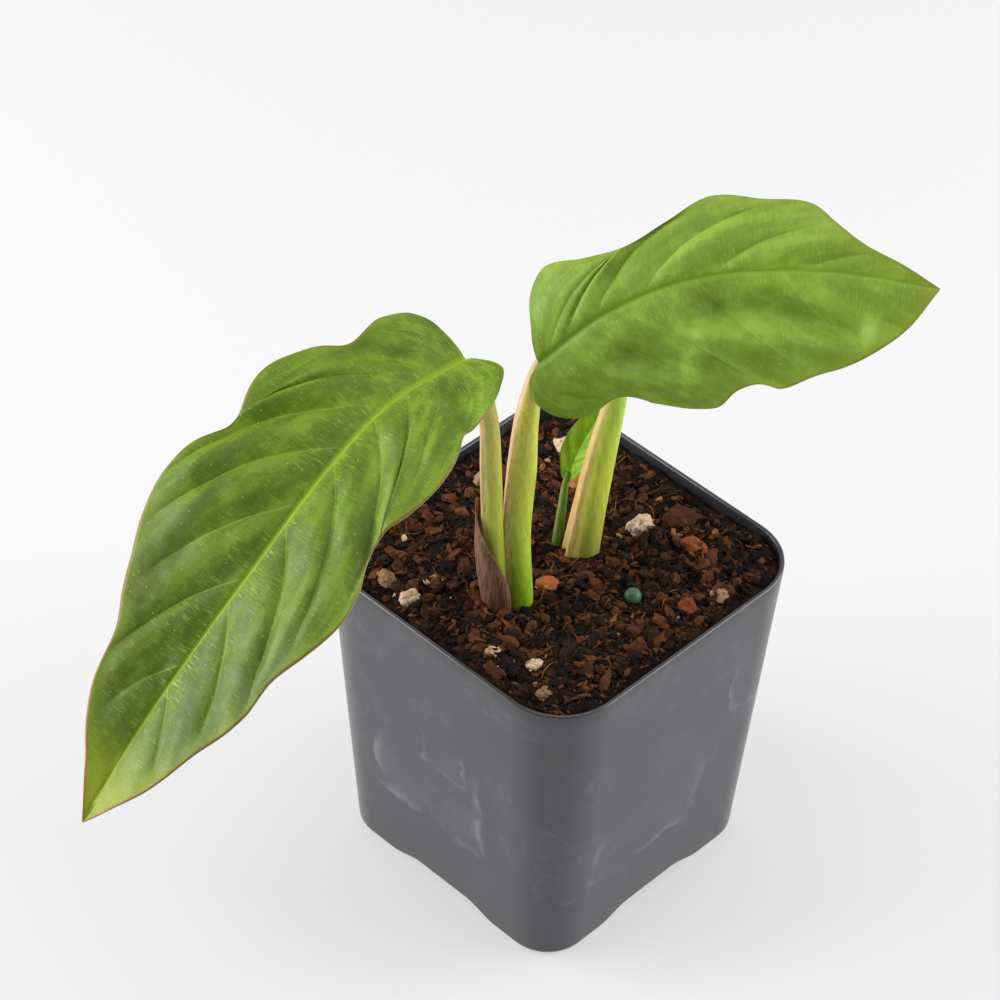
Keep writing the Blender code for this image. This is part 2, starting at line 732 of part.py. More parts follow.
def make_soil():
    """A plug that fills the pot, with spaces for the roots, stems and pieces that it holds."""
    clear = 2 * (WALL + GAP)
    share = (SOIL_BOTTOM - FOOT_ROUNDING) / (POT_HEIGHT - FOOT_ROUNDING)
    low_width = POT_BOTTOM_WIDTH + (POT_TOP_WIDTH - POT_BOTTOM_WIDTH) * share - clear
    top_share = (SOIL_TOP - FOOT_ROUNDING) / (POT_HEIGHT - FOOT_ROUNDING)
    top_width = POT_BOTTOM_WIDTH + (POT_TOP_WIDTH - POT_BOTTOM_WIDTH) * top_share - clear
    low_corner = POT_BOTTOM_CORNER - WALL - GAP
    top_corner = POT_TOP_CORNER - WALL - GAP
    rings = [
        rounded_square(low_width - 2, low_corner, SOIL_BOTTOM),
        rounded_square(low_width, low_corner, SOIL_BOTTOM + SOIL_FOOT_BEVEL),
    ]
    for scale in SOIL_TOP_SCALES:
        ring = rounded_square(top_width * scale, top_corner * scale, 0.0)
        ring[:, 2] = soil_height(ring[:, 0], ring[:, 1])
        if scale == 1.0:
            ring[:, 2] -= SOIL_EDGE_DROP
        rings.append(ring)
    points, faces = loft(rings)
    soil = add_object("soil", mesh_from_grid("soil", points, faces), PARTS)
    spaces = bpy.data.collections.new("soil_spaces")
    for obj in list(CUTTERS.objects):
        spaces.objects.link(obj)
        CUTTERS.objects.unlink(obj)
    CUTTERS.children.link(spaces)
    boolean(soil, "DIFFERENCE", spaces)
    finish(soil, "soil", smooth_angle=35)


clear_scene()
PARTS = new_collection("potted_peace_lily")
CUTTERS = new_collection("cutters")
make_pot()
make_rhizome()
make_petioles()
make_blades()
make_dried_sheath()
make_pieces_in_soil()
make_soil()
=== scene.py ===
"""The look of a young peace lily in a square nursery pot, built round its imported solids.

Lengths are in millimetres while a shape is worked out, and in metres once it is in a mesh. Every
new surface is a function of two parameters on a grid, worked out as whole numpy arrays.
"""

import math

import bmesh
import bpy
import numpy as np
from mathutils import Matrix, Vector


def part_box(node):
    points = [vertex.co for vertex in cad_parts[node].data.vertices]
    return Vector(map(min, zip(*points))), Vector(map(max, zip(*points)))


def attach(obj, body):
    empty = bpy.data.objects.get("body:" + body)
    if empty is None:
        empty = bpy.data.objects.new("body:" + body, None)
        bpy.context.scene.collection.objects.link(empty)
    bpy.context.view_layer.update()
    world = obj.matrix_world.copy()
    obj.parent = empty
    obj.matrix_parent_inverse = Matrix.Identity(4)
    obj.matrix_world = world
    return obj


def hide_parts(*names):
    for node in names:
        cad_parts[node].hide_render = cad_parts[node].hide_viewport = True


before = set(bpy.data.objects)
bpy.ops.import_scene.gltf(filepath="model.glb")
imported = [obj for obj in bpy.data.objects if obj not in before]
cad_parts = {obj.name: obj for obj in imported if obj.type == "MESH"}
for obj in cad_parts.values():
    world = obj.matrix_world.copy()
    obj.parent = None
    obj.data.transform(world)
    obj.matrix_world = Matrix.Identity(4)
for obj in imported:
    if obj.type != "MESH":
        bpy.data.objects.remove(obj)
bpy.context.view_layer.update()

MM = 0.001
SEED = 7

# Camera: the angles round the pot that it looks from, and how far it is moved sideways and up
CAMERA_AZIMUTH = 43.4
CAMERA_ELEVATION = 42.7
CAMERA_ROLL = 2.05
CAMERA_DISTANCE = 667.2
CAMERA_RIGHT = -7.92
CAMERA_UP = 55.56
CAMERA_LENS = 135.29
SENSOR_WIDTH = 36.0

# Stage and light. A soft box has its place (right of the pot, behind it, above the floor, as the
# camera sees it), its width and its power.
FLOOR_HALF_WIDTH = 3000.0
FLOOR_LEVEL = -0.02
FLOOR_GLOW = 0.47  # a lit sheet: the part of its brightness that no shadow takes away
WORLD_STRENGTH = 0.6
LIGHT_AIM = (0, 0, 50)
SOFTBOXES = {
    "softbox_left": ((-640, 20, 180), 520, 6.2),
    "softbox_right": ((640, 20, 180), 520, 4.5),
    "softbox_top": ((0, 150, 900), 700, 1.9),
}

# Pot
WALL = 0.8
RIM_ROUNDING = 0.38
FOOT_ROUNDING = 1.2
POT_TOP_CORNER = 11.2
POT_BOTTOM_CORNER = 7.7
POT_BOTTOM_SHARE = 0.85  # the foot's width as a part of the rim's
ARCH_HEIGHT = 1.5
ARCH_HALF_WIDTH = 12.5
CHANNEL_OUTER_WIDTH = 36.0
CHANNEL_INNER_WIDTH = 24.0
CHANNEL_SLOPE = 4.0
PAD_WIDTH = 4.0
DRAIN_RADIUS = 2.5
DRAIN_OFFSET = 15.0
# Dried puddles on its sides: centre, and half size in x, y and z
DRIED_MARKS = (
    ((-2.0, -28.0, 29.0), (12.5, 8.0, 12.0)),
    ((2.0, -29.0, 37.0), (5.0, 8.0, 5.0)),
    ((28.0, -4.0, 24.0), (8.0, 13.0, 9.0)),
    ((29.0, 19.0, 44.0), (8.0, 5.0, 8.0)),
)
PUDDLE_WANDER = 5.0

# Leaf stalks: centre line points and radii, from the soil into the rib under the leaf
STALKS = {
    "petiole_left": (
        ((0.6, -14.3, 57.0), 1.5), ((0.3, -14.3, 62.0), 1.65), ((-2.2, -13.4, 76.0), 1.6),
        ((-4.0, -12.5, 87.5), 1.6), ((-5.9, -11.8, 98.0), 1.5), ((-7.6, -12.2, 103.8), 1.3),
        ((-9.2, -14.4, 106.2), 1.0), ((-9.9, -18.5, 106.4), 0.6),
    ),
    "petiole_right": (
        ((2.8, -11.7, 57.0), 2.0), ((2.6, -11.6, 62.0), 2.1), ((-0.5, -9.4, 75.0), 2.1),
        ((-2.2, -7.1, 85.5), 2.2), ((-3.6, -5.0, 94.5), 1.9), ((-4.8, -2.5, 99.0), 1.5),
        ((-5.3, -0.6, 102.0), 1.1), ((-3.4, 2.2, 106.4), 0.6),
    ),
    "petiole_back": (
        ((1.6, 3.2, 57.0), 2.5), ((1.5, 4.2, 62.0), 2.75), ((1.3, 6.8, 74.5), 2.45),
        ((1.4, 8.6, 84.0), 2.1), ((1.5, 10.4, 92.0), 1.8), ((1.4, 11.8, 97.4), 1.45),
        ((1.2, 14.2, 99.7), 1.0), ((1.3, 18.0, 101.7), 0.55),
    ),
    "petiole_young": (
        ((-2.3, 2.2, 57.0), 0.85), ((-2.7, 2.6, 62.0), 0.85), ((-3.8, 4.6, 67.5), 0.75),
        ((-4.7, 6.2, 72.0), 0.6), ((-4.75, 6.9, 74.5), 0.4),
    ),
}
# The way a stalk's sheath edges face, in degrees round it, and how strongly they flare at its foot
SHEATH_TURN = {
    "petiole_left": (228.0, 0.30),
    "petiole_right": (228.0, 0.28),
    "petiole_back": (232.0, 0.22),
    "petiole_young": (220.0, 0.10),
}
SHEATH_THICKNESS = 0.16  # of the dried, papery sheath

# Leaf blades. The midrib is a path from the stalk to the tip. An edge is the flat outline of one
# half, as (distance along the midrib, distance out from it); its first base_points points are the
# base lobe. Facing is the way the upper side looks. Fold is the slope of each half beside the
# midrib, and curl bends the left and right halves back down, both as parts of half_width. A wave is
# a soft rise or dip of the blade along a line, as ((along, out), (along, out), height, size).
BLADES = {
    "blade_left": {
        "midrib": (
            (-9.5, -13.5, 108.5), (-11.0, -29.5, 107.0), (-10.5, -44.5, 101.0),
            (-10.0, -58.0, 92.5), (-10.5, -70.5, 82.5), (-10.5, -83.0, 72.5),
            (-9.5, -95.5, 62.5),
        ),
        "facing": (0.0, 0.0, 1.0),
        "half_width": 22.0,
        "fold": 0.34,
        "curl": (0.2, 0.2),
        "base_points": 5,
        "left_edge": (
            (0.0, 0.0), (-1.2, 3.5), (-1.5, 7.5), (1.5, 10.8), (7.0, 14.2), (11.0, 14.6),
            (16.0, 17.6), (22.0, 19.2), (29.0, 18.4), (34.0, 16.6), (38.0, 16.6), (43.0, 19.6),
            (48.0, 20.6), (54.0, 19.4), (61.0, 17.0), (68.0, 16.4), (78.0, 12.2), (87.0, 7.8),
            (92.5, 3.4), (96.3, 0.0),
        ),
        "right_edge": (
            (0.0, 0.0), (-0.3, 4.0), (0.2, 8.5), (2.0, 11.5), (6.0, 13.4), (12.5, 12.4),
            (17.0, 15.8), (22.0, 18.8), (33.0, 17.4), (38.5, 20.6), (45.0, 21.8), (54.0, 20.4),
            (61.0, 17.0), (70.0, 12.0), (77.0, 10.6), (88.0, 4.5), (96.3, 0.0),
        ),
        "waves": (
            ((10.5, -13.5), (6.0, -6.0), -2.2, 2.8),
            ((38.0, -17.0), (26.0, -6.0), -1.1, 2.6),
            ((50.0, -16.0), (38.0, -6.0), 0.5, 2.6),
            ((14.0, 12.0), (8.0, 5.0), -1.0, 2.4),
            ((33.0, 17.0), (22.0, 6.0), -0.9, 2.6),
        ),
        "veins": 10.0,
        "grid": (250, 60),
    },
    "blade_right": {
        "midrib": (
            (-4.5, -2.0, 103.5), (1.5, 6.0, 112.5), (9.5, 15.0, 119.0), (19.5, 23.5, 122.5),
            (30.5, 31.0, 124.0), (42.0, 39.0, 123.5),
        ),
        "facing": (0.46, -0.52, 0.7),
        "half_width": 18.0,
        "fold": 0.2,
        "curl": (0.8, 0.3),
        "base_points": 5,
        "left_edge": (
            (0.0, 0.0), (1.0, 2.5), (2.8, 5.5), (4.8, 9.0), (8.5, 11.8), (14.5, 9.6), (21.0, 8.4),
            (27.0, 10.2), (32.5, 13.0), (40.0, 11.8), (47.0, 11.0), (51.0, 8.0), (56.0, 4.8),
            (62.0, 2.6), (68.1, 0.0),
        ),
        "right_edge": (
            (0.0, 0.0), (-2.5, 1.2), (-4.0, 3.5), (-3.4, 7.0), (1.0, 11.3), (7.5, 12.2),
            (13.0, 15.6), (21.0, 19.4), (29.0, 20.2), (34.5, 18.2), (38.5, 17.6), (43.0, 18.4),
            (50.0, 16.2), (58.0, 12.8), (63.5, 8.0), (68.1, 0.0),
        ),
        "waves": (
            ((32.0, 5.5), (56.0, 8.5), -2.2, 2.7),
            ((30.0, 10.0), (50.0, 13.0), 0.9, 3.0),
            ((14.0, 7.5), (22.0, 12.0), -1.5, 2.3),
            ((18.0, -4.5), (32.0, -9.0), -0.9, 2.4),
        ),
        "veins": 8.0,
        "grid": (220, 56),
    },
    "blade_back": {
        "midrib": (
            (1.1, 13.4, 100.6), (1.4, 20.5, 104.0), (1.2, 28.5, 104.8), (0.6, 36.0, 102.5),
            (-0.4, 42.5, 98.5),
        ),
        "facing": (0.1, -0.1, 1.0),
        "half_width": 13.0,
        "fold": 0.3,
        "curl": (0.25, 0.25),
        "base_points": 3,
        "left_edge": (
            (0.0, 0.0), (-1.2, 3.0), (1.0, 7.0), (7.0, 10.0), (14.0, 10.5), (22.0, 7.8),
            (28.0, 3.4), (31.1, 0.0),
        ),
        "right_edge": (
            (0.0, 0.0), (-1.0, 3.0), (1.5, 7.4), (7.0, 10.2), (13.0, 10.8), (21.5, 8.0),
            (28.0, 3.2), (31.1, 0.0),
        ),
        "waves": (),
        "veins": 7.0,
        "grid": (120, 36),
    },
    "blade_young": {
        "midrib": (
            (-4.8, 6.4, 72.4), (-4.2, 8.0, 78.0), (-2.9, 10.3, 84.0), (-1.6, 13.0, 89.5),
        ),
        "facing": (0.45, -0.8, 0.3),
        "half_width": 3.0,
        "fold": 0.45,
        "curl": (0.1, 0.1),
        "base_points": 2,
        "left_edge": ((0.0, 0.0), (0.6, 0.7), (2.5, 1.6), (8.0, 2.9), (13.5, 2.2), (19.2, 0.0)),
        "right_edge": ((0.0, 0.0), (0.6, 0.7), (2.5, 1.6), (8.0, 2.7), (13.5, 2.0), (19.2, 0.0)),
        "waves": (),
        "veins": 5.0,
        "grid": (90, 16),
    },
}
VEIN_CROWDING = 2.1  # how much closer together the side veins start towards the stalk
VEIN_START = 0.6  # how directly a side vein leaves the midrib: the straight part of its sweep
BASE_FADE = 3  # how soon the base lobe's outline stops bending the lines across
BLADE_THICKNESS = 0.32
REFERENCE_HALF_WIDTH = 22.0  # a blade this wide has the full relief, a smaller one less
QUILT_HEIGHT = 1.0
CRINKLE_HEIGHT = 0.22
CRINKLE_SIZE = 4.5
RIB_GROOVE = 0.4
RIB_DEPTH = 0.9
VEIN_RIDGE = 0.14
VEIN_RIDGE_WIDTH = 0.035  # as a part of the gap between two side veins

# Soil
SOIL_TOP = 62.0
SOIL_LOW_CORNER = 6.6
HEAP_HEIGHT = 0.5  # how high, and how far out, the soil is heaped against a stalk
HEAP_SIZE = 3.2
CRUMB_COUNT = 1700
DUST_COUNT = 5200
SHRED_COUNT = 260
GRIT_COUNT = 36
FIBRE_COUNT = 420
FIBRE_RINGS = 8
FIBRE_SIDES = 6
KNOBBLE = 0.5  # how uneven a loose crumb is
BARK_SEED = 20  # a grain's own seed is its number after its kind's
PRILL_SEED = 40


# ---- Numbers, paths and noise ----

def box_mm(node):
    """Lowest and highest corner of a solid, in millimetres."""
    low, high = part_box(node)
    return np.array(low) / MM, np.array(high) / MM


def unit(vectors):
    """Vectors divided by their lengths."""
    return vectors / np.linalg.norm(vectors, axis=-1, keepdims=True)


def smooth_step(value, low=0.0, high=1.0):
    """Rises smoothly from 0 at low to 1 at high."""
    share = np.clip((value - low) / (high - low), 0.0, 1.0)
    return share * share * (3 - 2 * share)


class Path:
    """A smooth path through points: cubic Hermite pieces over the chord length."""

    def __init__(self, points):
        self.points = np.asarray(points, float)
        steps = np.linalg.norm(np.diff(self.points, axis=0), axis=1)
        self.stops = np.concatenate([[0.0], np.cumsum(steps)])
        self.slopes = np.gradient(self.points, self.stops, axis=0)
        self.length = self.stops[-1]

    def piece(self, at):
        """For each distance along: the piece it is on, that piece's length, and the share of it."""
        at = np.asarray(at, float)
        index = np.clip(np.searchsorted(self.stops, at, side="right") - 1, 0, len(self.stops) - 2)
        span = self.stops[index + 1] - self.stops[index]
        share = (at - self.stops[index]) / span
        return index, span[..., None], share[..., None]

    def place(self, at):
        """Each piece's cubic between its end points and slopes."""
        i, h, x = self.piece(at)
        start = (1 + 2 * x) * (1 - x) ** 2 * self.points[i] + x * (1 - x) ** 2 * h * self.slopes[i]
        end = x**2 * (3 - 2 * x) * self.points[i + 1] + x**2 * (x - 1) * h * self.slopes[i + 1]
        return start + end

    def heading(self, at):
        """The unit derivative of that cubic."""
        i, h, x = self.piece(at)
        change = 6 * x * (1 - x) * (self.points[i + 1] - self.points[i]) / h
        slope = (3 * x**2 - 4 * x + 1) * self.slopes[i] + (3 * x**2 - 2 * x) * self.slopes[i + 1]
        return unit(change + slope)


LATTICE = np.random.RandomState(SEED).uniform(-1, 1, (32, 32, 32))


def noise(points, size, octaves=1):
    """Smooth noise from -1 to 1: random values on a lattice of the given spacing, blended between
    its corners with an S-curve; each further octave is half as large and half as strong."""
    total, strength = 0.0, 1.0
    for octave in range(octaves):
        q = points / size * 2**octave + 11.3 * octave
        cell = np.floor(q).astype(int)
        s = smooth_step(q - cell)
        value = 0.0
        for corner in range(8):
            offset = np.array([corner & 1, corner >> 1 & 1, corner >> 2])
            weight = np.prod(np.where(offset, s, 1 - s), axis=-1)
            i, j, k = np.moveaxis((cell + offset) % 32, -1, 0)
            value = value + weight * LATTICE[i, j, k]
        total = total + strength * value
        strength /= 2
    return total


# ---- Meshes ----

def make_piece(name, points, faces, smooth=True, **attributes):
    """A mesh object from points in millimetres; attributes are numbers or triples per point."""
    mesh = bpy.data.meshes.new(name)
    mesh.from_pydata((np.asarray(points) * MM).tolist(), [], faces)
    for key, values in attributes.items():
        values = np.asarray(values, np.float32)
        kind = "FLOAT" if values.ndim == 1 else "FLOAT_VECTOR"
        field = "value" if values.ndim == 1 else "vector"
        layer = mesh.attributes.new(key, kind, "POINT")
        layer.data.foreach_set(field, values.ravel())
    mesh.update()
    if smooth:
        mesh.shade_smooth()
    obj = bpy.data.objects.new(name, mesh)
    bpy.context.scene.collection.objects.link(obj)
    return obj


def tidy_mesh(obj, distance=0.004):
    """Merges doubled points and turns the faces outwards."""
    form = bmesh.new()
    form.from_mesh(obj.data)
    bmesh.ops.remove_doubles(form, verts=form.verts, dist=distance * MM)
    bmesh.ops.dissolve_degenerate(form, edges=form.edges, dist=distance * MM / 4)
    bmesh.ops.recalc_face_normals(form, faces=form.faces)
    form.to_mesh(obj.data)
    form.free()


def grid_faces(rows, columns, closed=False, flip=False, first=0):
    """Quads between the points of a grid; closed joins the last column to the first."""
    row = np.arange(rows - 1)[:, None] * columns
    column = np.arange(columns if closed else columns - 1)[None, :]
    ahead = (column + 1) % columns
    quads = np.stack(
        [row + column, row + ahead, row + columns + ahead, row + columns + column], axis=-1
    ).reshape(-1, 4)
    return ((quads[:, ::-1] if flip else quads) + first).tolist()


def capped_faces(rows, columns):
    """Faces of a closed skin through rings, and of the fans that join its first and last ring to
    the two points that follow the rings."""
    count = rows * columns
    ring = np.arange(columns)
    fans = []
    for tip, start, turn in ((count, 0, -1), (count + 1, count - columns, 1)):
        pair = np.stack([ring, (ring + 1) % columns], axis=-1)[:, ::turn] + start
        fans += np.concatenate([np.full((columns, 1), tip), pair], axis=-1).tolist()
    return grid_faces(rows, columns, closed=True) + fans


def closed_sheet_faces(rows, columns):
    """Faces of a thin sheet: its top grid, its bottom grid after it, and the wall round their edge."""
    count = rows * columns
    index = np.arange(count).reshape(rows, columns)
    around = np.concatenate([index[0, :-1], index[:-1, -1], index[-1, :0:-1], index[:0:-1, 0]])
    ahead = np.roll(around, -1)
    wall = np.stack([ahead, around, around + count, ahead + count], axis=-1).tolist()
    top = grid_faces(rows, columns)
    bottom = grid_faces(rows, columns, flip=True, first=count)
    return top + bottom + wall


def rounded_square(width, corner, height, side_steps=40, corner_steps=14):
    """A ring round a square with round corners: four straight sides and four quarter turns."""
    half = width / 2
    side = np.linspace(-1, 1, side_steps, endpoint=False) * (half - corner)
    angle = np.linspace(0, math.pi / 2, corner_steps, endpoint=False)
    x = np.concatenate([np.full(side_steps, half), half - corner + corner * np.cos(angle)])
    y = np.concatenate([side, half - corner + corner * np.sin(angle)])
    turn = np.repeat(np.arange(4) * math.pi / 2, len(x))
    x, y = np.tile(x, 4), np.tile(y, 4)
    ring = [x * np.cos(turn) - y * np.sin(turn), x * np.sin(turn) + y * np.cos(turn)]
    return np.stack([*ring, np.full(len(x), float(height))], axis=-1)


def ball_mesh(fineness, sides=3):
    """Points and faces of a ball of radius 1: even triangles, or the squares of a swollen cube."""
    form = bmesh.new()
    if sides == 3:
        bmesh.ops.create_icosphere(form, subdivisions=fineness, radius=1.0)
    else:
        bmesh.ops.create_cube(form, size=2.0)
        bmesh.ops.subdivide_edges(form, edges=form.edges[:], cuts=fineness, use_grid_fill=True)
    points = unit(np.array([vert.co[:] for vert in form.verts]))
    faces = np.array([[vert.index for vert in face.verts] for face in form.faces])
    form.free()
    return points, faces


def sweep(path, radii, around, steps, flare):
    """A tube along a path: at each step a ring square to the path, of the radius that flare gives
    from the plain radius, the share of the way along and the angle. Returns points, share, angle."""
    at = np.linspace(0, path.length, steps)
    centre, heading = path.place(at), path.heading(at)
    other = unit(np.cross(heading, [1.0, 0.0, 0.0]))
    side = np.cross(other, heading)
    angle = np.linspace(0, 2 * math.pi, around, endpoint=False)[None, :]
    radius = np.interp(at, path.stops, radii)[:, None] * np.ones_like(angle)
    radius = flare(radius, at[:, None] / path.length, angle)
    ring = side[:, None] * np.cos(angle)[..., None] + other[:, None] * np.sin(angle)[..., None]
    points = centre[:, None] + radius[..., None] * ring
    return points, at[:, None] / path.length + 0 * angle, angle + 0 * at[:, None]


def tube_piece(name, points, along, angle):
    """Closes a swept tube with a point at each end and makes it a piece."""
    rows, columns = points.shape[:2]
    ends = np.stack([points[0].mean(axis=0), points[-1].mean(axis=0)])
    points = np.concatenate([points.reshape(-1, 3), ends])
    shape = np.stack([along, np.cos(angle), np.sin(angle)], axis=-1).reshape(-1, 3)
    shape = np.concatenate([shape, [[0.0, 1.0, 0.0], [1.0, 1.0, 0.0]]])
    piece = make_piece(name, points, capped_faces(rows, columns), shape=shape)
    tidy_mesh(piece)
    return piece


# ---- Materials ----

def linear(hex_colour):
    """The linear RGBA value of an sRGB hex colour."""
    channels = [int(hex_colour[i : i + 2], 16) / 255 for i in (1, 3, 5)]
    return [c / 12.92 if c <= 0.04045 else ((c + 0.055) / 1.055) ** 2.4 for c in channels] + [1.0]


def add(tree, kind, settings=None, **sockets):
    """Adds a node. Settings are its own values, with stops for a colour ramp as (place, colour);
    sockets are values or links by input name, with _ for a space, or i0, i1, ... by number."""
    node = tree.nodes.new("ShaderNode" + kind)
    for key, value in (settings or {}).items():
        if key == "stops":
            elements = node.color_ramp.elements
            while len(elements) < len(value):
                elements.new(1.0)
            for element, (place, colour) in zip(elements, value):
                element.position = place
                element.color = linear(colour) if isinstance(colour, str) else [colour] * 3 + [1.0]
        else:
            setattr(node, key, value)
    for key, value in sockets.items():
        numbered = key[0] == "i" and key[1:].isdigit()
        socket = node.inputs[int(key[1:]) if numbered else key.replace("_", " ")]
        if isinstance(value, bpy.types.NodeSocket):
            tree.links.new(value, socket)
        else:
            socket.default_value = value
    return node


def new_material(name, **shader_values):
    """A material with its shader; returns the material, its node tree, the shader and Object
    coordinates in millimetres."""
    material = bpy.data.materials.new(name)
    material.use_nodes = True
    tree = material.node_tree
    shader = tree.nodes["Principled BSDF"]
    for key, value in shader_values.items():
        shader.inputs[key.replace("_", " ")].default_value = value
    place = add(tree, "TexCoord").outputs["Object"]
    in_mm = add(tree, "VectorMath", {"operation": "SCALE"}, Vector=place, Scale=1 / MM)
    return material, tree, shader, in_mm.outputs[0]


def maths(tree, operation, *values, kind="Math"):
    """The result of a Math or VectorMath node; values fill its inputs in order."""
    sockets = {f"i{place}": value for place, value in enumerate(values)}
    return add(tree, kind, {"operation": operation}, **sockets).outputs[0]


def spread(tree, value, low, high, at_low=0.0, at_high=1.0):
    """A value moved from the range low to high into at_low to at_high, and held inside it."""
    ends = {"From_Min": low, "From_Max": high, "To_Min": at_low, "To_Max": at_high}
    return add(tree, "MapRange", Value=value, **ends).outputs[0]


def blend(tree, amount, below, above, how="MIX"):
    """A colour laid over another by an amount; each is a link or an sRGB hex colour."""
    below, above = (linear(c) if isinstance(c, str) else c for c in (below, above))
    settings = {"data_type": "RGBA", "blend_type": how}
    return add(tree, "Mix", settings, i0=amount, i6=below, i7=above).outputs[2]


def ramp(tree, amount, *stops):
    """A colour or a grey read off a ramp of (place, colour) stops."""
    return add(tree, "ValToRGB", {"stops": stops}, Fac=amount).outputs[0]


def clouds(tree, place, size, detail=2.0, roughness=0.5):
    """Noise between 0 and 1, with its largest swells about size across."""
    settings = {"Scale": 1 / size, "Detail": detail, "Roughness": roughness}
    return add(tree, "TexNoise", Vector=place, **settings).outputs[0]


def cells(tree, place, size):
    """The distance to the nearest of scattered points about size apart, as a share of size."""
    return add(tree, "TexVoronoi", Vector=place, Scale=1 / size).outputs["Distance"]


def parts_of(tree, vector):
    """A vector's three numbers."""
    return tuple(add(tree, "SeparateXYZ", Vector=vector).outputs)


def attribute(tree, name, output="Vector"):
    """What a mesh holds per point under a name."""
    return add(tree, "Attribute", {"attribute_name": name}).outputs[output]


def relief(tree, shader, height, strength, depth):
    """Small relief on a shader, its depth in millimetres."""
    bump = add(tree, "Bump", Height=height, Strength=strength, Distance=depth * MM)
    tree.links.new(bump.outputs[0], shader.inputs["Normal"])


def leaf_material(name, greens, rib, vein, underside, margin, strength, tip, painted_light_and_shade=(1.0, 1.0)):
    """Living leaf, waxy and satin: mottled green between lighter sunken veins, fine veinlets square
    to the midrib like brushed hair, pale specks and a few brown ones, and a thin reddish margin.
    The last argument is painted light and shade along the blade: the factors its green is scaled by at
    the base and near the tip, for how light falls there."""
    material, tree, shader, mm = new_material(
        name, Subsurface_Weight=0.1, Subsurface_Scale=0.4 * MM, Specular_IOR_Level=0.28
    )
    flat = attribute(tree, "flat")
    along, out, edge = parts_of(tree, flat)
    phase, rib_width, under = parts_of(tree, attribute(tree, "form"))

    # Veinlets: strokes 0.24 mm wide and 2.4 mm long, square to the midrib
    across_rib = maths(tree, "MULTIPLY", flat, (1 / 0.24, 1 / 2.4, 0.0), kind="VectorMath")
    strokes = clouds(tree, across_rib, 1.0, 3.0, 0.6)

    # Mottling: streaks that follow the side veins, patches of 2 mm, and the veinlets' fine grain
    along_veins = add(tree, "CombineXYZ", X=phase, Y=maths(tree, "MULTIPLY", out, 1 / 9))
    broad = clouds(tree, along_veins.outputs[0], 1 / 1.7, 3.0, 0.55)
    small = clouds(tree, mm, 2.0, 4.0, 0.7)
    grain = maths(tree, "MULTIPLY_ADD", strokes, 0.35, broad)
    mottle = maths(tree, "MULTIPLY_ADD", small, 0.42, grain)
    green = ramp(tree, mottle, (0.64, greens[0]), (0.87, greens[1]), (1.0, greens[2]))
    # Painted light and shade: the green is scaled from the blade's base to near its tip
    painted_lightness = spread(tree, along, 0.1 * tip[0], 0.8 * tip[0], *painted_light_and_shade)
    colour = add(tree, "VectorMath", {"operation": "SCALE"}, i0=green, Scale=painted_lightness).outputs[0]

    # The veinlets show pale, most of all beside the midrib, and in patches
    stroke = spread(tree, strokes, 0.53, 0.7, 0.0, strength)
    out_size = maths(tree, "ABSOLUTE", out)
    near_rib = spread(tree, out_size, 0.5, 8.0, 1.0, 0.2)
    patch = spread(tree, clouds(tree, mm, 3.5), 0.4, 0.62)
    local = maths(tree, "MULTIPLY", near_rib, patch)
    colour = blend(tree, maths(tree, "MULTIPLY", stroke, local), colour, vein)

    # Side veins: lines where the vein count passes a whole number
    vein_line = spread(tree, maths(tree, "PINGPONG", phase, 0.5), 0.005, 0.02, 0.3, 0.0)
    vein_amount = maths(tree, "MULTIPLY", vein_line, spread(tree, edge, 1.0, 5.0))
    colour = blend(tree, vein_amount, colour, vein)

    # Midrib: a bright line that narrows to the tip, with a soft lighter band beside it
    rib_share = maths(tree, "MULTIPLY", maths(tree, "DIVIDE", out_size, rib_width), 0.22)
    rib_mask = ramp(tree, rib_share, (0.0, 0.9), (0.18, 0.75), (0.36, 0.2), (1.0, 0.0))
    rib_stops = zip((0.0, 0.45, 1.0), rib)
    colour = blend(tree, rib_mask, colour, ramp(tree, spread(tree, along, 0.0, 80.0), *rib_stops))

    # Specks 0.2 mm across, and a few brown spots 1 mm across
    speck = spread(tree, cells(tree, mm, 1.5), 0.05, 0.1, 0.55, 0.0)
    colour = blend(tree, speck, colour, "#B9C592")
    spot = spread(tree, cells(tree, mm, 13.0), 0.02, 0.045, 0.8, 0.0)
    colour = blend(tree, spot, colour, "#8A5A2A")

    # Yellowing tip, a yellowish band along the margin, and its reddish line, 0.2 mm wide
    at_tip = spread(tree, along, tip[0], tip[0] + 10.0, 0.0, 0.75)
    colour = blend(tree, at_tip, colour, tip[1])
    band_width = maths(tree, "MULTIPLY", clouds(tree, mm, 4.0), 2.4)
    colour = blend(tree, spread(tree, edge, 0.0, band_width, 0.35, 0.0), colour, margin[0])
    colour = blend(tree, spread(tree, edge, 0.05, 0.22, 0.8, 0.0), colour, margin[1])
    colour = blend(tree, under, colour, underside)
    tree.links.new(colour, shader.inputs["Base Color"])

    # Satin wax, duller in patches; the veinlets and cells of 0.35 mm show in the gloss
    tree.links.new(spread(tree, small, 0.35, 0.65, 0.4, 0.58), shader.inputs["Roughness"])
    height = maths(tree, "MULTIPLY_ADD", strokes, 1.2, cells(tree, mm, 0.35))
    relief(tree, shader, height, 0.35, 0.06)
    return material


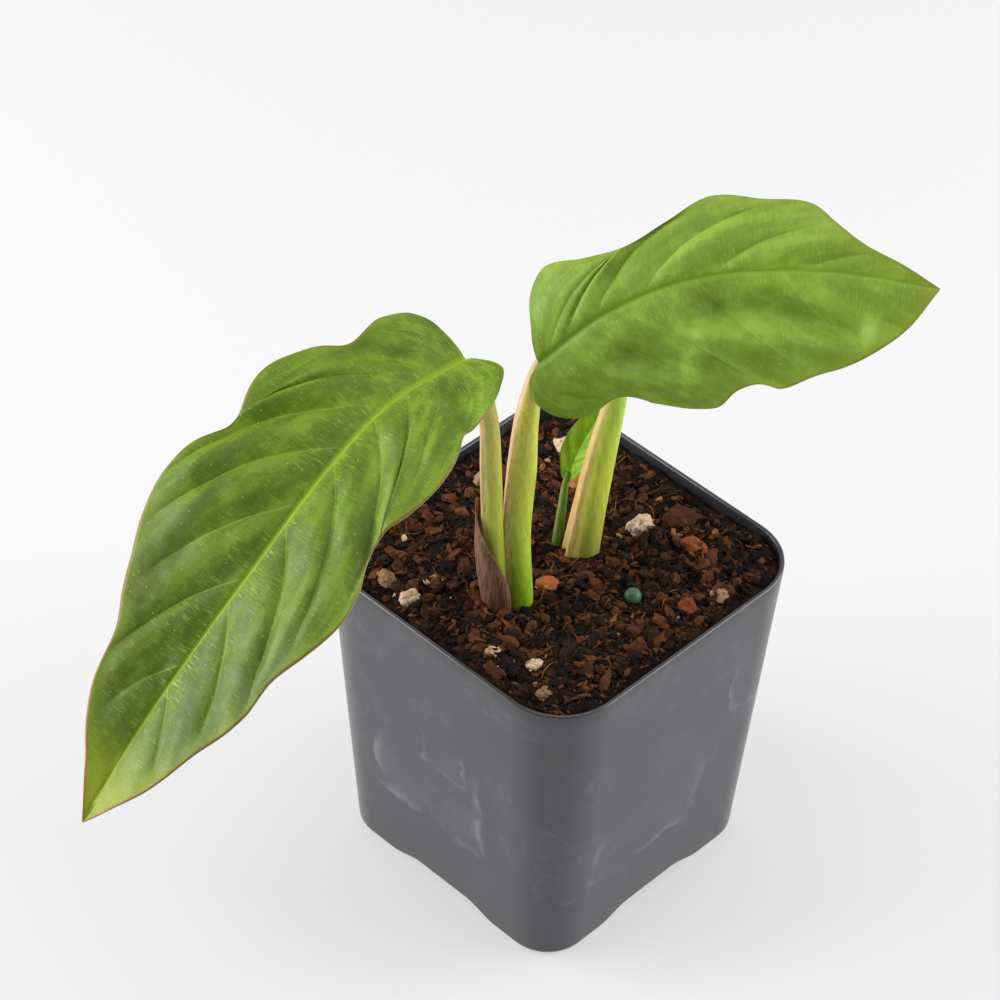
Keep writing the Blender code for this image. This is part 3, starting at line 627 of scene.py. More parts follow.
def stalk_material(name, foot, middle, top, edge):
    """Fleshy leaf stalk, waxy: bright green at the foot, olive above, with the pale pink-tan edges
    of its sheath running up one side, and fine lengthwise streaks."""
    material, tree, shader, mm = new_material(
        name, Roughness=0.42, Subsurface_Weight=0.15, Subsurface_Scale=0.8 * MM
    )
    along, across, _ = parts_of(tree, attribute(tree, "shape"))
    colour = ramp(tree, along, (0.08, foot), (0.38, middle), (0.95, top))
    # Streaks 0.5 mm wide and 12 mm long
    upright = maths(tree, "MULTIPLY", mm, (1 / 0.5, 1 / 0.5, 1 / 12), kind="VectorMath")
    streak = clouds(tree, upright, 1.0, 3.0, 0.6)
    shift = maths(tree, "MULTIPLY_ADD", streak, 0.9, across)
    edge_mask = spread(tree, shift, 0.95, 1.4, 0.0, 0.85)
    amount = maths(tree, "MULTIPLY", edge_mask, spread(tree, along, 0.02, 0.2))
    colour = blend(tree, amount, colour, edge)
    light = spread(tree, streak, 0.3, 0.7, 0.8, 1.2)
    colour = blend(tree, 1.0, colour, light, "MULTIPLY")
    tree.links.new(colour, shader.inputs["Base Color"])
    relief(tree, shader, streak, 0.4, 0.12)
    return material


def dry_sheath_material():
    """Dried leaf sheath, papery: purple-brown with darker fibres and a rusty yellow tip."""
    material, tree, shader, mm = new_material("dried_sheath_membrane", Roughness=0.75)
    along, _, _ = parts_of(tree, attribute(tree, "flat"))
    upright = maths(tree, "MULTIPLY", mm, (1 / 0.35, 1 / 0.35, 1 / 9), kind="VectorMath")
    fibres = clouds(tree, upright, 1.0, 4.0, 0.65)
    brown = ramp(tree, fibres, (0.3, "#3C2418"), (0.5, "#684430"), (0.7, "#8E6A58"))
    colour = blend(tree, spread(tree, along, 0.8, 1.0), brown, "#8A5A14")
    tree.links.new(colour, shader.inputs["Base Color"])
    relief(tree, shader, fibres, 0.6, 0.2)
    return material


def water_mark(tree, mm, centre, half):
    """The rim of a dried puddle on a side: where a box distance, bent by noise, is nearly 1. It is
    strongest low down, where the water stood longest."""
    bend = add(tree, "TexNoise", Vector=mm, Scale=1 / 6, Detail=3.0)
    spin = bend.outputs["Color"]
    wander = maths(tree, "MULTIPLY_ADD", spin, (PUDDLE_WANDER,) * 3, mm, kind="VectorMath")
    middle = tuple(c + PUDDLE_WANDER / 2 for c in centre)
    offset = maths(tree, "SUBTRACT", wander, middle, kind="VectorMath")
    share = maths(tree, "DIVIDE", offset, half, kind="VectorMath")
    x, y, z = parts_of(tree, maths(tree, "ABSOLUTE", share, kind="VectorMath"))
    box = maths(tree, "MAXIMUM", maths(tree, "MAXIMUM", x, y), z)
    stops = ((0.0, 0.12), (0.42, 0.2), (0.49, 0.9), (0.53, 0.0))
    rim = ramp(tree, maths(tree, "MULTIPLY", box, 0.5), *stops)
    low_part = spread(tree, parts_of(tree, share)[2], 0.0, 0.7, 1.0, 0.1)
    broken = spread(tree, bend.outputs[0], 0.35, 0.6)
    return maths(tree, "MULTIPLY", maths(tree, "MULTIPLY", rim, low_part), broken)


def pot_material():
    """Injection-moulded polystyrene, dark grey and semi-gloss: a faint moulded grain, and pale
    dried water marks with sharper rims on its sides."""
    material, tree, shader, mm = new_material("moulded_pot_plastic", IOR=1.59)
    broad = clouds(tree, mm, 14.0, 4.0, 0.55)
    mark = ramp(tree, broad, (0.5, 0.0), (0.56, 0.1), (0.585, 0.4), (0.6, 0.08), (0.75, 0.04))
    break_up = spread(tree, clouds(tree, mm, 2.5, 4.0, 0.7), 0.35, 0.7)
    drops = spread(tree, cells(tree, mm, 9.0), 0.06, 0.16, 0.2, 0.0)
    total = maths(tree, "MAXIMUM", maths(tree, "MULTIPLY", mark, break_up), drops)
    for centre, half in DRIED_MARKS:
        total = maths(tree, "MAXIMUM", total, water_mark(tree, mm, centre, half))
    on_sides = spread(tree, parts_of(tree, mm)[2], 4.0, 14.0)
    dust = maths(tree, "MULTIPLY", total, on_sides)
    grey = ramp(tree, broad, (0.3, "#38363B"), (0.7, "#3B393F"))
    colour = blend(tree, maths(tree, "MULTIPLY", dust, 0.3), grey, "#B4B1B8")
    tree.links.new(colour, shader.inputs["Base Color"])
    tree.links.new(spread(tree, dust, 0.0, 0.6, 0.3, 0.5), shader.inputs["Roughness"])
    relief(tree, shader, clouds(tree, mm, 0.5), 0.12, 0.05)
    return material


def crumb_material(name, stops, roughness, grain, depth, pit_shade_strength=0.0):
    """A loose growing-mix material: its colour varies from crumb to crumb and within each, over a
    grain of the given size in millimetres; painted shade darkens its pits, where it is porous."""
    material, tree, shader, mm = new_material(name, Roughness=roughness, Specular_IOR_Level=0.25)
    inside = clouds(tree, mm, grain, 5.0, 0.7)
    from_crumb = maths(tree, "SUBTRACT", attribute(tree, "shade", "Fac"), 0.4)
    mixed = maths(tree, "MULTIPLY_ADD", inside, 0.8, from_crumb)
    pits = cells(tree, mm, grain * 0.6)
    # Painted shade in the pits: the colour is darkened there by the pit shade strength
    painted_pit_shade = spread(tree, pits, 0.1, 0.45, 1.0 - pit_shade_strength, 1.0)
    colour = blend(tree, 1.0, ramp(tree, mixed, *stops), painted_pit_shade, "MULTIPLY")
    tree.links.new(colour, shader.inputs["Base Color"])
    relief(tree, shader, maths(tree, "ADD", inside, pits), 0.8, depth)
    return material


PEAT = [(0.1, "#0D0604"), (0.38, "#1E0F08"), (0.62, "#3A200F"), (0.85, "#643A1E")]
SHREDS = [(0.1, "#2C150C"), (0.45, "#552D1A"), (0.7, "#7E4526"), (0.95, "#B07040")]
BARK_COLOURS = [(0.1, "#4A2413"), (0.4, "#8A4622"), (0.65, "#B8683A"), (0.9, "#D9996A")]
PUMICE_COLOURS = [(0.1, "#94704F"), (0.4, "#CCA785"), (0.7, "#E6CBB0"), (0.95, "#F3E4D4")]
FIBRE_COLOURS = [(0.1, "#2A150C"), (0.5, "#5C3219"), (0.9, "#8C5A30")]


# ---- Pot ----

def arch(ring):
    """How much a bottom ring is raised: fully at the middle of each side, not at all at its corners."""
    along = np.minimum(np.abs(ring[:, 0]), np.abs(ring[:, 1]))
    return ARCH_HEIGHT * smooth_step(ARCH_HALF_WIDTH - along, 0.0, 0.55 * ARCH_HALF_WIDTH)


def bottom_rings(width, corner, lift):
    """Rings of the pot's bottom, inwards: corner feet, a raised channel and a pad in the middle."""
    rings = []
    for share in (1.0, 0.92, 0.86):
        ring = rounded_square(width * share, corner, lift)
        ring[:, 2] += arch(ring)
        rings.append(ring)
    slope = np.linspace(0, 1, 7)
    for share in slope:
        ring = rounded_square(CHANNEL_OUTER_WIDTH + CHANNEL_SLOPE * (1 - share), corner, lift)
        ring[:, 2] += arch(ring) * (1 - smooth_step(share)) + ARCH_HEIGHT * smooth_step(share)
        rings.append(ring)
    for share in slope:
        level = lift + ARCH_HEIGHT * (1 - smooth_step(share))
        rings.append(rounded_square(CHANNEL_INNER_WIDTH - CHANNEL_SLOPE * share, corner, level))
    rings.append(rounded_square(PAD_WIDTH, 1.5, lift))
    return rings


def make_pot(material):
    """The pot is one closed skin through rings of a rounded square: up its outside from the centre
    pad, over the rim, and down its inside to the floor. The drain holes are cut through the floor."""
    low, high = box_mm("pot")
    top_width, height = high[0] - low[0], high[2]
    bottom_width = top_width * POT_BOTTOM_SHARE
    foot_width = bottom_width - 2 * FOOT_ROUNDING
    foot_corner = POT_BOTTOM_CORNER - FOOT_ROUNDING

    def side_ring(share, base, inset=0.0):
        """A ring at a share of the way from a base level up to the rim, moved in by an inset."""
        ring = rounded_square(
            bottom_width + (top_width - bottom_width) * share - 2 * inset,
            POT_BOTTOM_CORNER + (POT_TOP_CORNER - POT_BOTTOM_CORNER) * share - inset,
            base + (height - RIM_ROUNDING - base) * share,
        )
        ring[:, 2] += arch(ring) * (1 - share) ** 4
        return ring

    rings = bottom_rings(foot_width, foot_corner, 0.0)[::-1]
    for angle in np.linspace(0, math.pi / 2, 7)[1:]:
        grow = FOOT_ROUNDING * math.sin(angle)
        level = FOOT_ROUNDING * (1 - math.cos(angle))
        ring = rounded_square(foot_width + 2 * grow, foot_corner + grow, level)
        ring[:, 2] += arch(ring)
        rings.append(ring)
    rings += [side_ring(share, FOOT_ROUNDING) for share in np.linspace(0, 1, 24)[1:]]
    for angle in np.linspace(0, math.pi, 9)[1:]:
        shift = WALL / 2 * (1 - math.cos(angle))
        level = height - RIM_ROUNDING * (1 - math.sin(angle))
        rings.append(rounded_square(top_width - 2 * shift, POT_TOP_CORNER - shift, level))
    inner_base = FOOT_ROUNDING + WALL
    rings += [side_ring(share, inner_base, WALL) for share in np.linspace(1, 0, 12)[1:]]
    rings += bottom_rings(foot_width - 2 * WALL, foot_corner, WALL)
    rings = np.array(rings)
    ends = np.array([[0.0, 0.0, 0.0], [0.0, 0.0, WALL]])
    points = np.concatenate([rings.reshape(-1, 3), ends])
    pot = make_piece("nursery_pot", points, capped_faces(*rings.shape[:2]))
    tidy_mesh(pot)
    cut_drains(pot)
    pot.data.materials.append(material)
    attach(pot, "root")
    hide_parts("pot")


def cut_drains(pot):
    """Four round holes through the channel, cut with one Boolean each and applied."""
    for quarter in range(4):
        angle = quarter * math.pi / 2
        across = DRAIN_OFFSET * math.cos(angle), DRAIN_OFFSET * math.sin(angle)
        bpy.ops.mesh.primitive_cylinder_add(
            vertices=40,
            radius=DRAIN_RADIUS * MM,
            depth=4 * ARCH_HEIGHT * MM,
            location=(across[0] * MM, across[1] * MM, ARCH_HEIGHT * MM),
        )
        cutter = bpy.context.active_object
        cut = pot.modifiers.new("Drain", "BOOLEAN")
        cut.operation = "DIFFERENCE"
        cut.solver = "EXACT"
        cut.object = cutter
        bpy.context.view_layer.update()
        graph = bpy.context.evaluated_depsgraph_get()
        mesh = bpy.data.meshes.new_from_object(pot.evaluated_get(graph))
        pot.modifiers.clear()
        pot.data = mesh
        bpy.data.objects.remove(cutter, do_unlink=True)
    pot.data.shade_smooth()
    pot.data.set_sharp_from_angle(angle=math.radians(40))


# ---- Leaves ----

def blade_form(blade):
    """The two sides of a blade on a grid whose lines across it follow the side veins.

    Each half is a Coons patch between the midrib, the margin and the base edge, worked out flat as
    distances along and out from the midrib, and no point lies further out than the margin beside
    it. The upper side is raised by fold, curl and waves, by a quilt that swells between side veins
    and dips at them and at the midrib, and by a crinkle of noise. The lower side lies a blade's
    thickness under it, more where the rib and the veins stand out. Both are then laid on the
    midrib's path. Returns the points, and per point what the material reads.
    """
    midrib = Path(blade["midrib"])
    along_steps, across_steps = blade["grid"]
    v = np.linspace(0, 0.9985, along_steps + 1)[:, None]
    u = np.linspace(0, 1, across_steps + 1)[None, :]
    bent_u = VEIN_START * u + (1 - VEIN_START) * u**3
    fade = (1 - v) ** BASE_FADE
    halves = []
    for side, edge_name, curl in zip((-1, 1), ("left_edge", "right_edge"), blade["curl"]):
        edge = Path(blade[edge_name])
        corner_at = edge.stops[blade["base_points"] - 1]
        margin = edge.place(corner_at + (edge.length - corner_at) * v)
        base = edge.place(corner_at * u)
        corner = edge.place(np.array([corner_at]))[0]
        far = (1 - bent_u) * midrib.length * v**VEIN_CROWDING + bent_u * margin[..., 0]
        far = far + fade * (base[..., 0] - bent_u * corner[0])
        out = u * margin[..., 1] + fade * (base[..., 1] - u * corner[1])
        room = np.interp(far, margin[:, 0, 0], margin[:, 0, 1])
        room = np.where(far > corner[0], room, 2 * blade["half_width"])
        out = side * np.minimum(out, room)
        share = np.abs(out) / blade["half_width"]
        rise = blade["half_width"] * (blade["fold"] * share - curl * share**2)
        count = blade["veins"] * v + 0.5 + 0.12 * side + 0.06 * np.sin(9 * v + 3 * side) + 0 * u
        to_edge = np.minimum((1 - u) * (np.abs(margin[..., 1]) + 0.3), room - np.abs(out))
        halves.append((far, out, rise, count, to_edge, side * u + 0 * v))
    far, out, rise, count, to_edge, across = (
        np.concatenate([left[:, :0:-1], right], axis=1) for left, right in zip(*halves)
    )
    for start, end, height, size in blade["waves"]:
        line = np.subtract(end, start)
        offset = np.stack([far, out], axis=-1) - start
        share = np.clip(offset @ line / (line @ line), 0, 1)[..., None]
        distance = np.linalg.norm(offset - share * line, axis=-1)
        rise = rise + height * np.exp(-((distance / size) ** 2))
    size = blade["half_width"] / REFERENCE_HALF_WIDTH
    reach = np.abs(across)
    quilted = smooth_step(reach, 0.03, 0.35) * (1 - smooth_step(reach, 0.72, 1.0))
    quilted = quilted * smooth_step(v, 0.1, 0.5) * (1 - smooth_step(v, 0.75, 0.98))
    swell = np.sin(math.pi * (count % 1.0) ** 0.8) ** 0.8
    rise = rise + QUILT_HEIGHT * size * quilted * (swell - 0.8)
    crinkle = noise(np.stack([far, out, 0 * far], axis=-1), CRINKLE_SIZE * size, octaves=2)
    rise = rise + CRINKLE_HEIGHT * size * crinkle * smooth_step(reach, 0.0, 0.25)
    rib_width = (0.62 - 0.42 * v) * size + 0 * out
    rib = np.exp(-((out / (rib_width + 0.15)) ** 2))
    groove = RIB_GROOVE * size * rib * (1 - 0.7 * v)
    near_vein = np.abs((count + 0.5) % 1.0 - 0.5)
    ridge = VEIN_RIDGE * size * np.exp(-((near_vein / VEIN_RIDGE_WIDTH) ** 2)) * quilted
    ribs_below = RIB_DEPTH * size * np.exp(-((out / (0.9 * size * (1.15 - v))) ** 2)) * (1.05 - v)
    under = rise - groove - BLADE_THICKNESS * min(1.0, size + 0.2) - ridge - ribs_below
    on_rib = np.clip(far, 0, midrib.length)
    heading = midrib.heading(on_rib)
    facing = np.array(blade["facing"])
    normal = unit(facing - (heading @ facing)[..., None] * heading)
    sideways = np.cross(heading, normal)
    places = midrib.place(on_rib) + (far - on_rib)[..., None] * heading + out[..., None] * sideways
    top = places + (rise - groove)[..., None] * normal
    bottom = places + under[..., None] * normal
    flat = np.stack([far, out, to_edge], axis=-1)
    form = np.stack([count, rib_width, 0 * count], axis=-1)
    lower_form = np.stack([count, rib_width, 0 * count + 1], axis=-1)
    return top, bottom, flat, form, lower_form


def make_blade(node, material):
    """A blade's two sides as one closed sheet, with what its material reads."""
    top, bottom, flat, form, lower_form = blade_form(BLADES[node])
    rows, columns = top.shape[:2]
    points = np.concatenate([top.reshape(-1, 3), bottom.reshape(-1, 3)])
    piece = make_piece(
        "leaf_" + node,
        points,
        closed_sheet_faces(rows, columns),
        flat=np.concatenate([flat, flat]).reshape(-1, 3),
        form=np.concatenate([form, lower_form]).reshape(-1, 3),
    )
    tidy_mesh(piece, 0.0005)
    piece.data.materials.append(material)
    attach(piece, "root")
    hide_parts(node)


def make_stalk(node, material):
    """A swept tube, a little oval, whose radius swells in two lips where the sheath's edges meet."""
    course = STALKS[node]
    path = Path([place for place, _ in course])
    turn, flare_size = SHEATH_TURN[node]
    middle = math.radians(turn)

    def swell_at(angle, shift, width):
        """A bell, 1 high, at a shift from the sheath's middle, that falls off over a width."""
        off = (angle - middle - shift + math.pi) % (2 * math.pi) - math.pi
        return np.exp(-((off / width) ** 2))

    def flare(radius, along, angle):
        """An oval's radius, with two lips beside a gap that fade up the stalk."""
        lips = swell_at(angle, -0.45, 0.2) + swell_at(angle, 0.45, 0.2)
        sheath = (1 - smooth_step(along, 0.35, 0.8)) * (lips - 0.8 * swell_at(angle, 0.0, 0.22))
        oval = 0.05 * np.cos(2 * (angle - middle))
        uneven = 0.03 * np.sin(11 * along + 2 * angle)
        return radius * (1 + oval + flare_size * sheath + uneven)

    points, along, angle = sweep(path, [r for _, r in course], 56, 130, flare)
    piece = tube_piece("stalk_" + node, points, along, angle - middle)
    piece.data.materials.append(material)
    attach(piece, "root")
    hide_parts(node)


def make_dried_sheath(material):
    """A thin curved strip round the left stalk's foot: its width shrinks to a torn point at the top,
    and its radius ripples along and across it."""
    low, high = box_mm("dried_sheath")
    stalk = Path([place for place, _ in STALKS["petiole_left"]])
    start = float(np.interp(low[2], stalk.points[:, 2], stalk.stops))
    end = float(np.interp(high[2], stalk.points[:, 2], stalk.stops))
    rows, columns = 90, 60
    v = np.linspace(0, 1, rows)[:, None]
    u = np.linspace(-1, 1, columns)[None, :]
    centre = stalk.place(start - 1.0 + (end - start + 0.5) * v)
    reach = np.radians(112.0) * np.clip(1 - v**2.2, 0.02, 1)
    angle = np.radians(250.0 - 30.0 * v) + reach * u + 0.12 * np.sin(5 * v)
    radius = 2.35 + 0.6 * np.sin(math.pi * v) + 0.16 * np.sin(8 * u + 5 * v) + 0.3 * (1 - v) ** 2
    radius = radius + 0.35 * np.abs(u) ** 4 * v
    points = centre + np.stack([radius * np.cos(angle), radius * np.sin(angle), 0 * angle], axis=-1)
    flat = np.stack([v + 0 * u, u + 0 * v, 0 * u + 0 * v], axis=-1).reshape(-1, 3)
    faces = grid_faces(rows, columns)
    piece = make_piece("papery_sheath", points.reshape(-1, 3), faces, flat=flat)
    solid = piece.modifiers.new("Thickness", "SOLIDIFY")
    solid.thickness = SHEATH_THICKNESS * MM
    solid.offset = 0.0
    piece.data.materials.append(material)
    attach(piece, "root")
    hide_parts("dried_sheath")


# ---- Soil and what lies in it ----

def soil_height(x, y):
    """The soil's top: low lumps of 5 to 10 mm, clods of 2 mm and crumbs of under 1 mm, a little
    lower towards the far corner and heaped against the stalks."""
    spot = np.stack([x, y, 0 * x], axis=-1)
    lumps = np.sin(x / 5.1 + 0.7) * np.cos(y / 6.3 - 0.4) + 0.6 * np.sin((x + y) / 3.4)
    height = SOIL_TOP + 0.35 * lumps - 0.6 * np.clip((y - x) / 60.0, 0, 1)
    clods = 1 - np.abs(noise(spot, 3.2)) * 2
    height = height + 0.35 * clods + 0.32 * noise(spot, 1.3, octaves=2)
    for node in ("petiole_left", "petiole_right", "petiole_back"):
        foot = STALKS[node][1][0]
        apart = (x - foot[0]) ** 2 + (y - foot[1]) ** 2
        height = height + HEAP_HEIGHT * np.exp(-apart / HEAP_SIZE**2)
    return height


def make_soil(material):
    """A plug inside the pot: rings of a rounded square from its floor up the wall, then inwards over
    the top, each top point raised to the soil's height."""
    low, high = box_mm("soil")
    floor, width = low[2], high[0] - low[0] + 0.3
    corner = POT_TOP_CORNER - WALL - 0.3
    low_width = width * POT_BOTTOM_SHARE - 0.2
    shares = np.linspace(0, 1, 8)
    levels = np.linspace(floor + 1.2, SOIL_TOP - 1.6, 8)
    outlines = [(1.0, 0.4, floor), (low_width - 2, 6.0, floor)]
    outlines += [
        (low_width + (width - low_width) * share, SOIL_LOW_CORNER + 3.5 * share, level)
        for share, level in zip(shares, levels)
    ]
    sides = len(outlines)
    outlines += [(width * s, corner * s, 0.0) for s in np.linspace(1, 0.01, 150) ** 0.9]
    rings = np.array([rounded_square(*outline, 84, 26) for outline in outlines])
    top = rings[sides:]
    top[..., 2] = soil_height(top[..., 0], top[..., 1])
    edge = np.linspace(0, 1, len(top))[:, None]
    top[..., 2] -= 0.5 * (1 - smooth_step(edge, 0.0, 0.03))
    ends = np.array([[0, 0, floor], [0, 0, top[-1, :, 2].mean()]])
    points = np.concatenate([rings.reshape(-1, 3), ends])
    shade = 0.42 + 0.3 * noise(points, 2.4, octaves=2)
    faces = capped_faces(*rings.shape[:2])
    piece = make_piece("potting_mix", points, faces, shade=shade)
    tidy_mesh(piece)
    piece.data.materials.append(material)
    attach(piece, "root")
    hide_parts("soil")


def scatter_places(random, reach):
    """Random spots on the soil, each at least its reach from the pot's wall, and off the stalks."""
    low, high = box_mm("soil")
    half = (high[0] - reach)[:, None]
    spots = random.uniform(-1, 1, (len(reach), 2)) * half
    corner = np.clip(np.abs(spots) - (half - 8.0), 0, None)
    spots = np.where(np.linalg.norm(corner, axis=1)[:, None] < 8.0, spots, spots * 0.8)
    for node in STALKS:
        foot = np.array(STALKS[node][1][0][:2])
        away = spots - foot
        distance = np.linalg.norm(away, axis=1)[:, None]
        clear = STALKS[node][1][1] + 0.5
        spots = np.where(distance > clear, spots, foot + away / distance * (clear + reach[:, None]))
    return spots


def scatter(name, count, sizes, stretch, flatten, sunk, seed, material, sides=4):
    """Many small lumps as one piece: each is a small ball with its own size, stretch, turn and
    knobbly surface, lying part sunk in the soil's top."""
    random = np.random.RandomState(seed)
    ball, around = ball_mesh(1, sides)
    size = random.uniform(0, 1, count) ** 2.2 * (sizes[1] - sizes[0]) + sizes[0]
    half = size[:, None] / 2 * np.stack(
        [random.uniform(*stretch, count), np.ones(count), random.uniform(*flatten, count)], axis=-1
    )
    spots = scatter_places(random, half.max(axis=1) * 1.3 + 0.3)
    spot_in_noise = ball[None] * 1.4 + random.uniform(0, 90, (count, 1, 3))
    knobs = 1 + KNOBBLE * noise(spot_in_noise, 1.0, octaves=2)
    local = ball[None] * knobs[..., None] * half[:, None]
    tilt = random.normal(0, 0.35, (count, 2))
    turn = random.uniform(0, 2 * math.pi, count)
    x = local[..., 0] * np.cos(turn)[:, None] - local[..., 1] * np.sin(turn)[:, None]
    y = local[..., 0] * np.sin(turn)[:, None] + local[..., 1] * np.cos(turn)[:, None]
    z = local[..., 2] + x * tilt[:, :1] + y * tilt[:, 1:]
    ground = soil_height(spots[:, 0], spots[:, 1]) + half[:, 2] * (1 - 2 * sunk)
    points = np.stack([x + spots[:, :1], y + spots[:, 1:], z + ground[:, None]], axis=-1)
    faces = around[None] + (np.arange(count) * len(ball))[:, None, None]
    shade = np.repeat(random.uniform(0, 1, count), len(ball))
    piece = make_piece(
        name, points.reshape(-1, 3), faces.reshape(-1, sides).tolist(), smooth=False, shade=shade
    )
    piece.data.materials.append(material)
    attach(piece, "root")


def make_fibres(material):
    """Coir fibres as one piece: each is a six-sided thread of eight rings along an arc that lies on
    the soil, bowed sideways and a little up."""
    random = np.random.RandomState(SEED + 5)
    count = FIBRE_COUNT
    length = random.uniform(2.0, 7.0, count)
    spots = scatter_places(random, length / 2 + 0.6)
    heading = random.uniform(0, 2 * math.pi, count)
    bow = random.uniform(-0.35, 0.35, count) * length
    lift = random.uniform(0.05, 0.5, count)
    radius = random.uniform(0.05, 0.13, count)
    t = np.linspace(-0.5, 0.5, FIBRE_RINGS)[None, :]
    arc = 1 - 4 * t**2
    forward, side = t * length[:, None], bow[:, None] * arc
    x = spots[:, :1] + forward * np.cos(heading)[:, None] - side * np.sin(heading)[:, None]
    y = spots[:, 1:] + forward * np.sin(heading)[:, None] + side * np.cos(heading)[:, None]
    z = soil_height(x, y) + 0.1 + lift[:, None] * arc
    angle = np.linspace(0, 2 * math.pi, FIBRE_SIDES, endpoint=False)
    taper = radius[:, None, None] * (0.35 + 0.65 * arc)[..., None]
    across = np.stack([-np.sin(heading), np.cos(heading), 0 * heading], axis=-1)
    ring = across[:, None, None] * np.cos(angle)[None, None, :, None]
    ring = ring + np.array([0, 0, 1.0]) * np.sin(angle)[None, None, :, None]
    points = np.stack([x, y, z], axis=-1)[:, :, None] + taper[..., None] * ring
    per_fibre = FIBRE_RINGS * FIBRE_SIDES
    first = (np.arange(count) * per_fibre)[:, None, None]
    one = np.array(grid_faces(FIBRE_RINGS, FIBRE_SIDES, closed=True))
    faces = (one[None] + first).reshape(-1, 4).tolist()
    cap = np.arange(FIBRE_SIDES)
    ends = np.stack([cap[::-1], cap + per_fibre - FIBRE_SIDES])[None] + first
    faces += ends.reshape(-1, FIBRE_SIDES).tolist()
    shade = np.repeat(random.uniform(0, 1, count), per_fibre)
    piece = make_piece("coir_fibres", points.reshape(-1, 3), faces, shade=shade)
    tidy_mesh(piece, 0.001)
    piece.data.materials.append(material)
    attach(piece, "root")


def make_grain(node, kind, material, seed):
    """One grain in its solid's box: a ball pushed in and out by noise. Bark is also flattened into
    flaky steps, and the fertiliser bead stays nearly round."""
    low, high = box_mm(node)
    ball, triangles = ball_mesh(5)
    rough = {"pumice": 0.34, "bark": 0.26, "fertiliser_prill": 0.03}[kind]
    if kind == "bark":
        ball = np.sign(ball) * np.abs(ball) ** 0.6
    shift = seed * 7.7
    knobs = 1 + rough * noise(ball + shift, 0.9, octaves=4)
    if kind == "pumice":
        knobs = knobs - 0.1 * smooth_step(noise(ball + shift, 0.28), 0.35, 0.7)
    points = ball * knobs[:, None]
    if kind == "bark":
        steps = np.round(points[:, 2] * 4 + 0.4 * noise(ball + shift, 0.7)) / 4
        points[:, 2] = 0.55 * points[:, 2] + 0.45 * steps
    span = points.max(axis=0) - points.min(axis=0)
    points = (points - points.min(axis=0)) / span * (high - low) + low
    shade = np.full(len(points), 0.35 + 0.3 * math.sin(seed * 2.3))
    piece = make_piece("grain_" + node, points, triangles.tolist(), shade=shade)
    piece.data.materials.append(material)
    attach(piece, "root")
    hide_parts(node)


# ---- Stage, light and camera ----

def camera_axes():
    """Unit vectors to the right, up and back towards the camera, from its angles round the pot."""
    azimuth, elevation = math.radians(CAMERA_AZIMUTH), math.radians(CAMERA_ELEVATION)
    back = np.array([
        math.sin(azimuth) * math.cos(elevation),
        -math.cos(azimuth) * math.cos(elevation),
        math.sin(elevation),
    ])
    level = unit(np.cross(-back, [0.0, 0.0, 1.0]))
    upright = np.cross(level, -back)
    roll = math.radians(CAMERA_ROLL)
    right = math.cos(roll) * level + math.sin(roll) * upright
    up = math.cos(roll) * upright - math.sin(roll) * level
    return right, up, back


def make_camera():
    """The camera: its matrix is made of its axes and its place."""
    right, up, back = camera_axes()
    data = bpy.data.cameras.new("camera")
    data.lens = CAMERA_LENS
    data.sensor_width = SENSOR_WIDTH
    data.clip_start = 0.05
    camera = bpy.data.objects.new("camera", data)
    place = back * CAMERA_DISTANCE + right * CAMERA_RIGHT + up * CAMERA_UP
    axes = np.eye(4)
    axes[:3, 0], axes[:3, 1], axes[:3, 2], axes[:3, 3] = right, up, back, place * MM
    camera.matrix_world = Matrix(axes.tolist())
    bpy.context.scene.collection.objects.link(camera)
    bpy.context.scene.camera = camera


def make_floor():
    """A wide sheet of matt white paper, just under the pot."""
    half = FLOOR_HALF_WIDTH
    corners = [(half * x, half * y, FLOOR_LEVEL) for x, y in ((-1, -1), (1, -1), (1, 1), (-1, 1))]
    floor = make_piece("floor", corners, [(0, 1, 2, 3)], smooth=False)
    material, _, _, _ = new_material(
        "white_paper",
        Base_Color=linear("#A4A4A4"),
        Roughness=0.9,
        Emission_Color=linear("#FFFFFF"),
        Emission_Strength=FLOOR_GLOW,
        Specular_IOR_Level=0.1,
    )
    floor.data.materials.append(material)


def softbox(name, place, aim, width, power):
    """A square area light at a place, turned to face an aim point, both in millimetres."""
    data = bpy.data.lights.new(name, "AREA")
    data.shape = "SQUARE"
    data.size = width * MM
    data.energy = power
    light = bpy.data.objects.new(name, data)
    light.location = Vector(place) * MM
    direction = Vector(aim) - Vector(place)
    light.rotation_euler = direction.to_track_quat("-Z", "Y").to_euler()
    bpy.context.scene.collection.objects.link(light)


def make_light():
    """Even white surroundings, darker where the camera stands, and three soft boxes."""
    world = bpy.data.worlds.new("studio")
    world.use_nodes = True
    tree = world.node_tree
    background = tree.nodes["Background"]
    direction = add(tree, "TexCoord").outputs["Generated"]
    right, _, back = camera_axes()
    level_back = tuple(unit(np.array([back[0], back[1], -0.3])))
    dot = add(tree, "VectorMath", {"operation": "DOT_PRODUCT"}, i0=direction, i1=level_back)
    towards = spread(tree, dot.outputs["Value"], -0.4, 1.0)
    tones = ((0.0, "#FFFFFF"), (0.5, "#EDEDEF"), (0.75, "#606165"), (1.0, "#242527"))
    tree.links.new(ramp(tree, towards, *tones), background.inputs["Color"])
    background.inputs["Strength"].default_value = WORLD_STRENGTH
    bpy.context.scene.world = world
    away = -unit(np.array([back[0], back[1], 0.0]))
    for name, ((sideways, behind, above), width, power) in SOFTBOXES.items():
        place = right * sideways + away * behind + np.array([0.0, 0.0, above])
        softbox(name, place, LIGHT_AIM, width, power)
    bpy.context.scene.view_settings.view_transform = "Standard"


# ---- Everything together ----

make_camera()
make_floor()
make_light()
make_pot(pot_material())

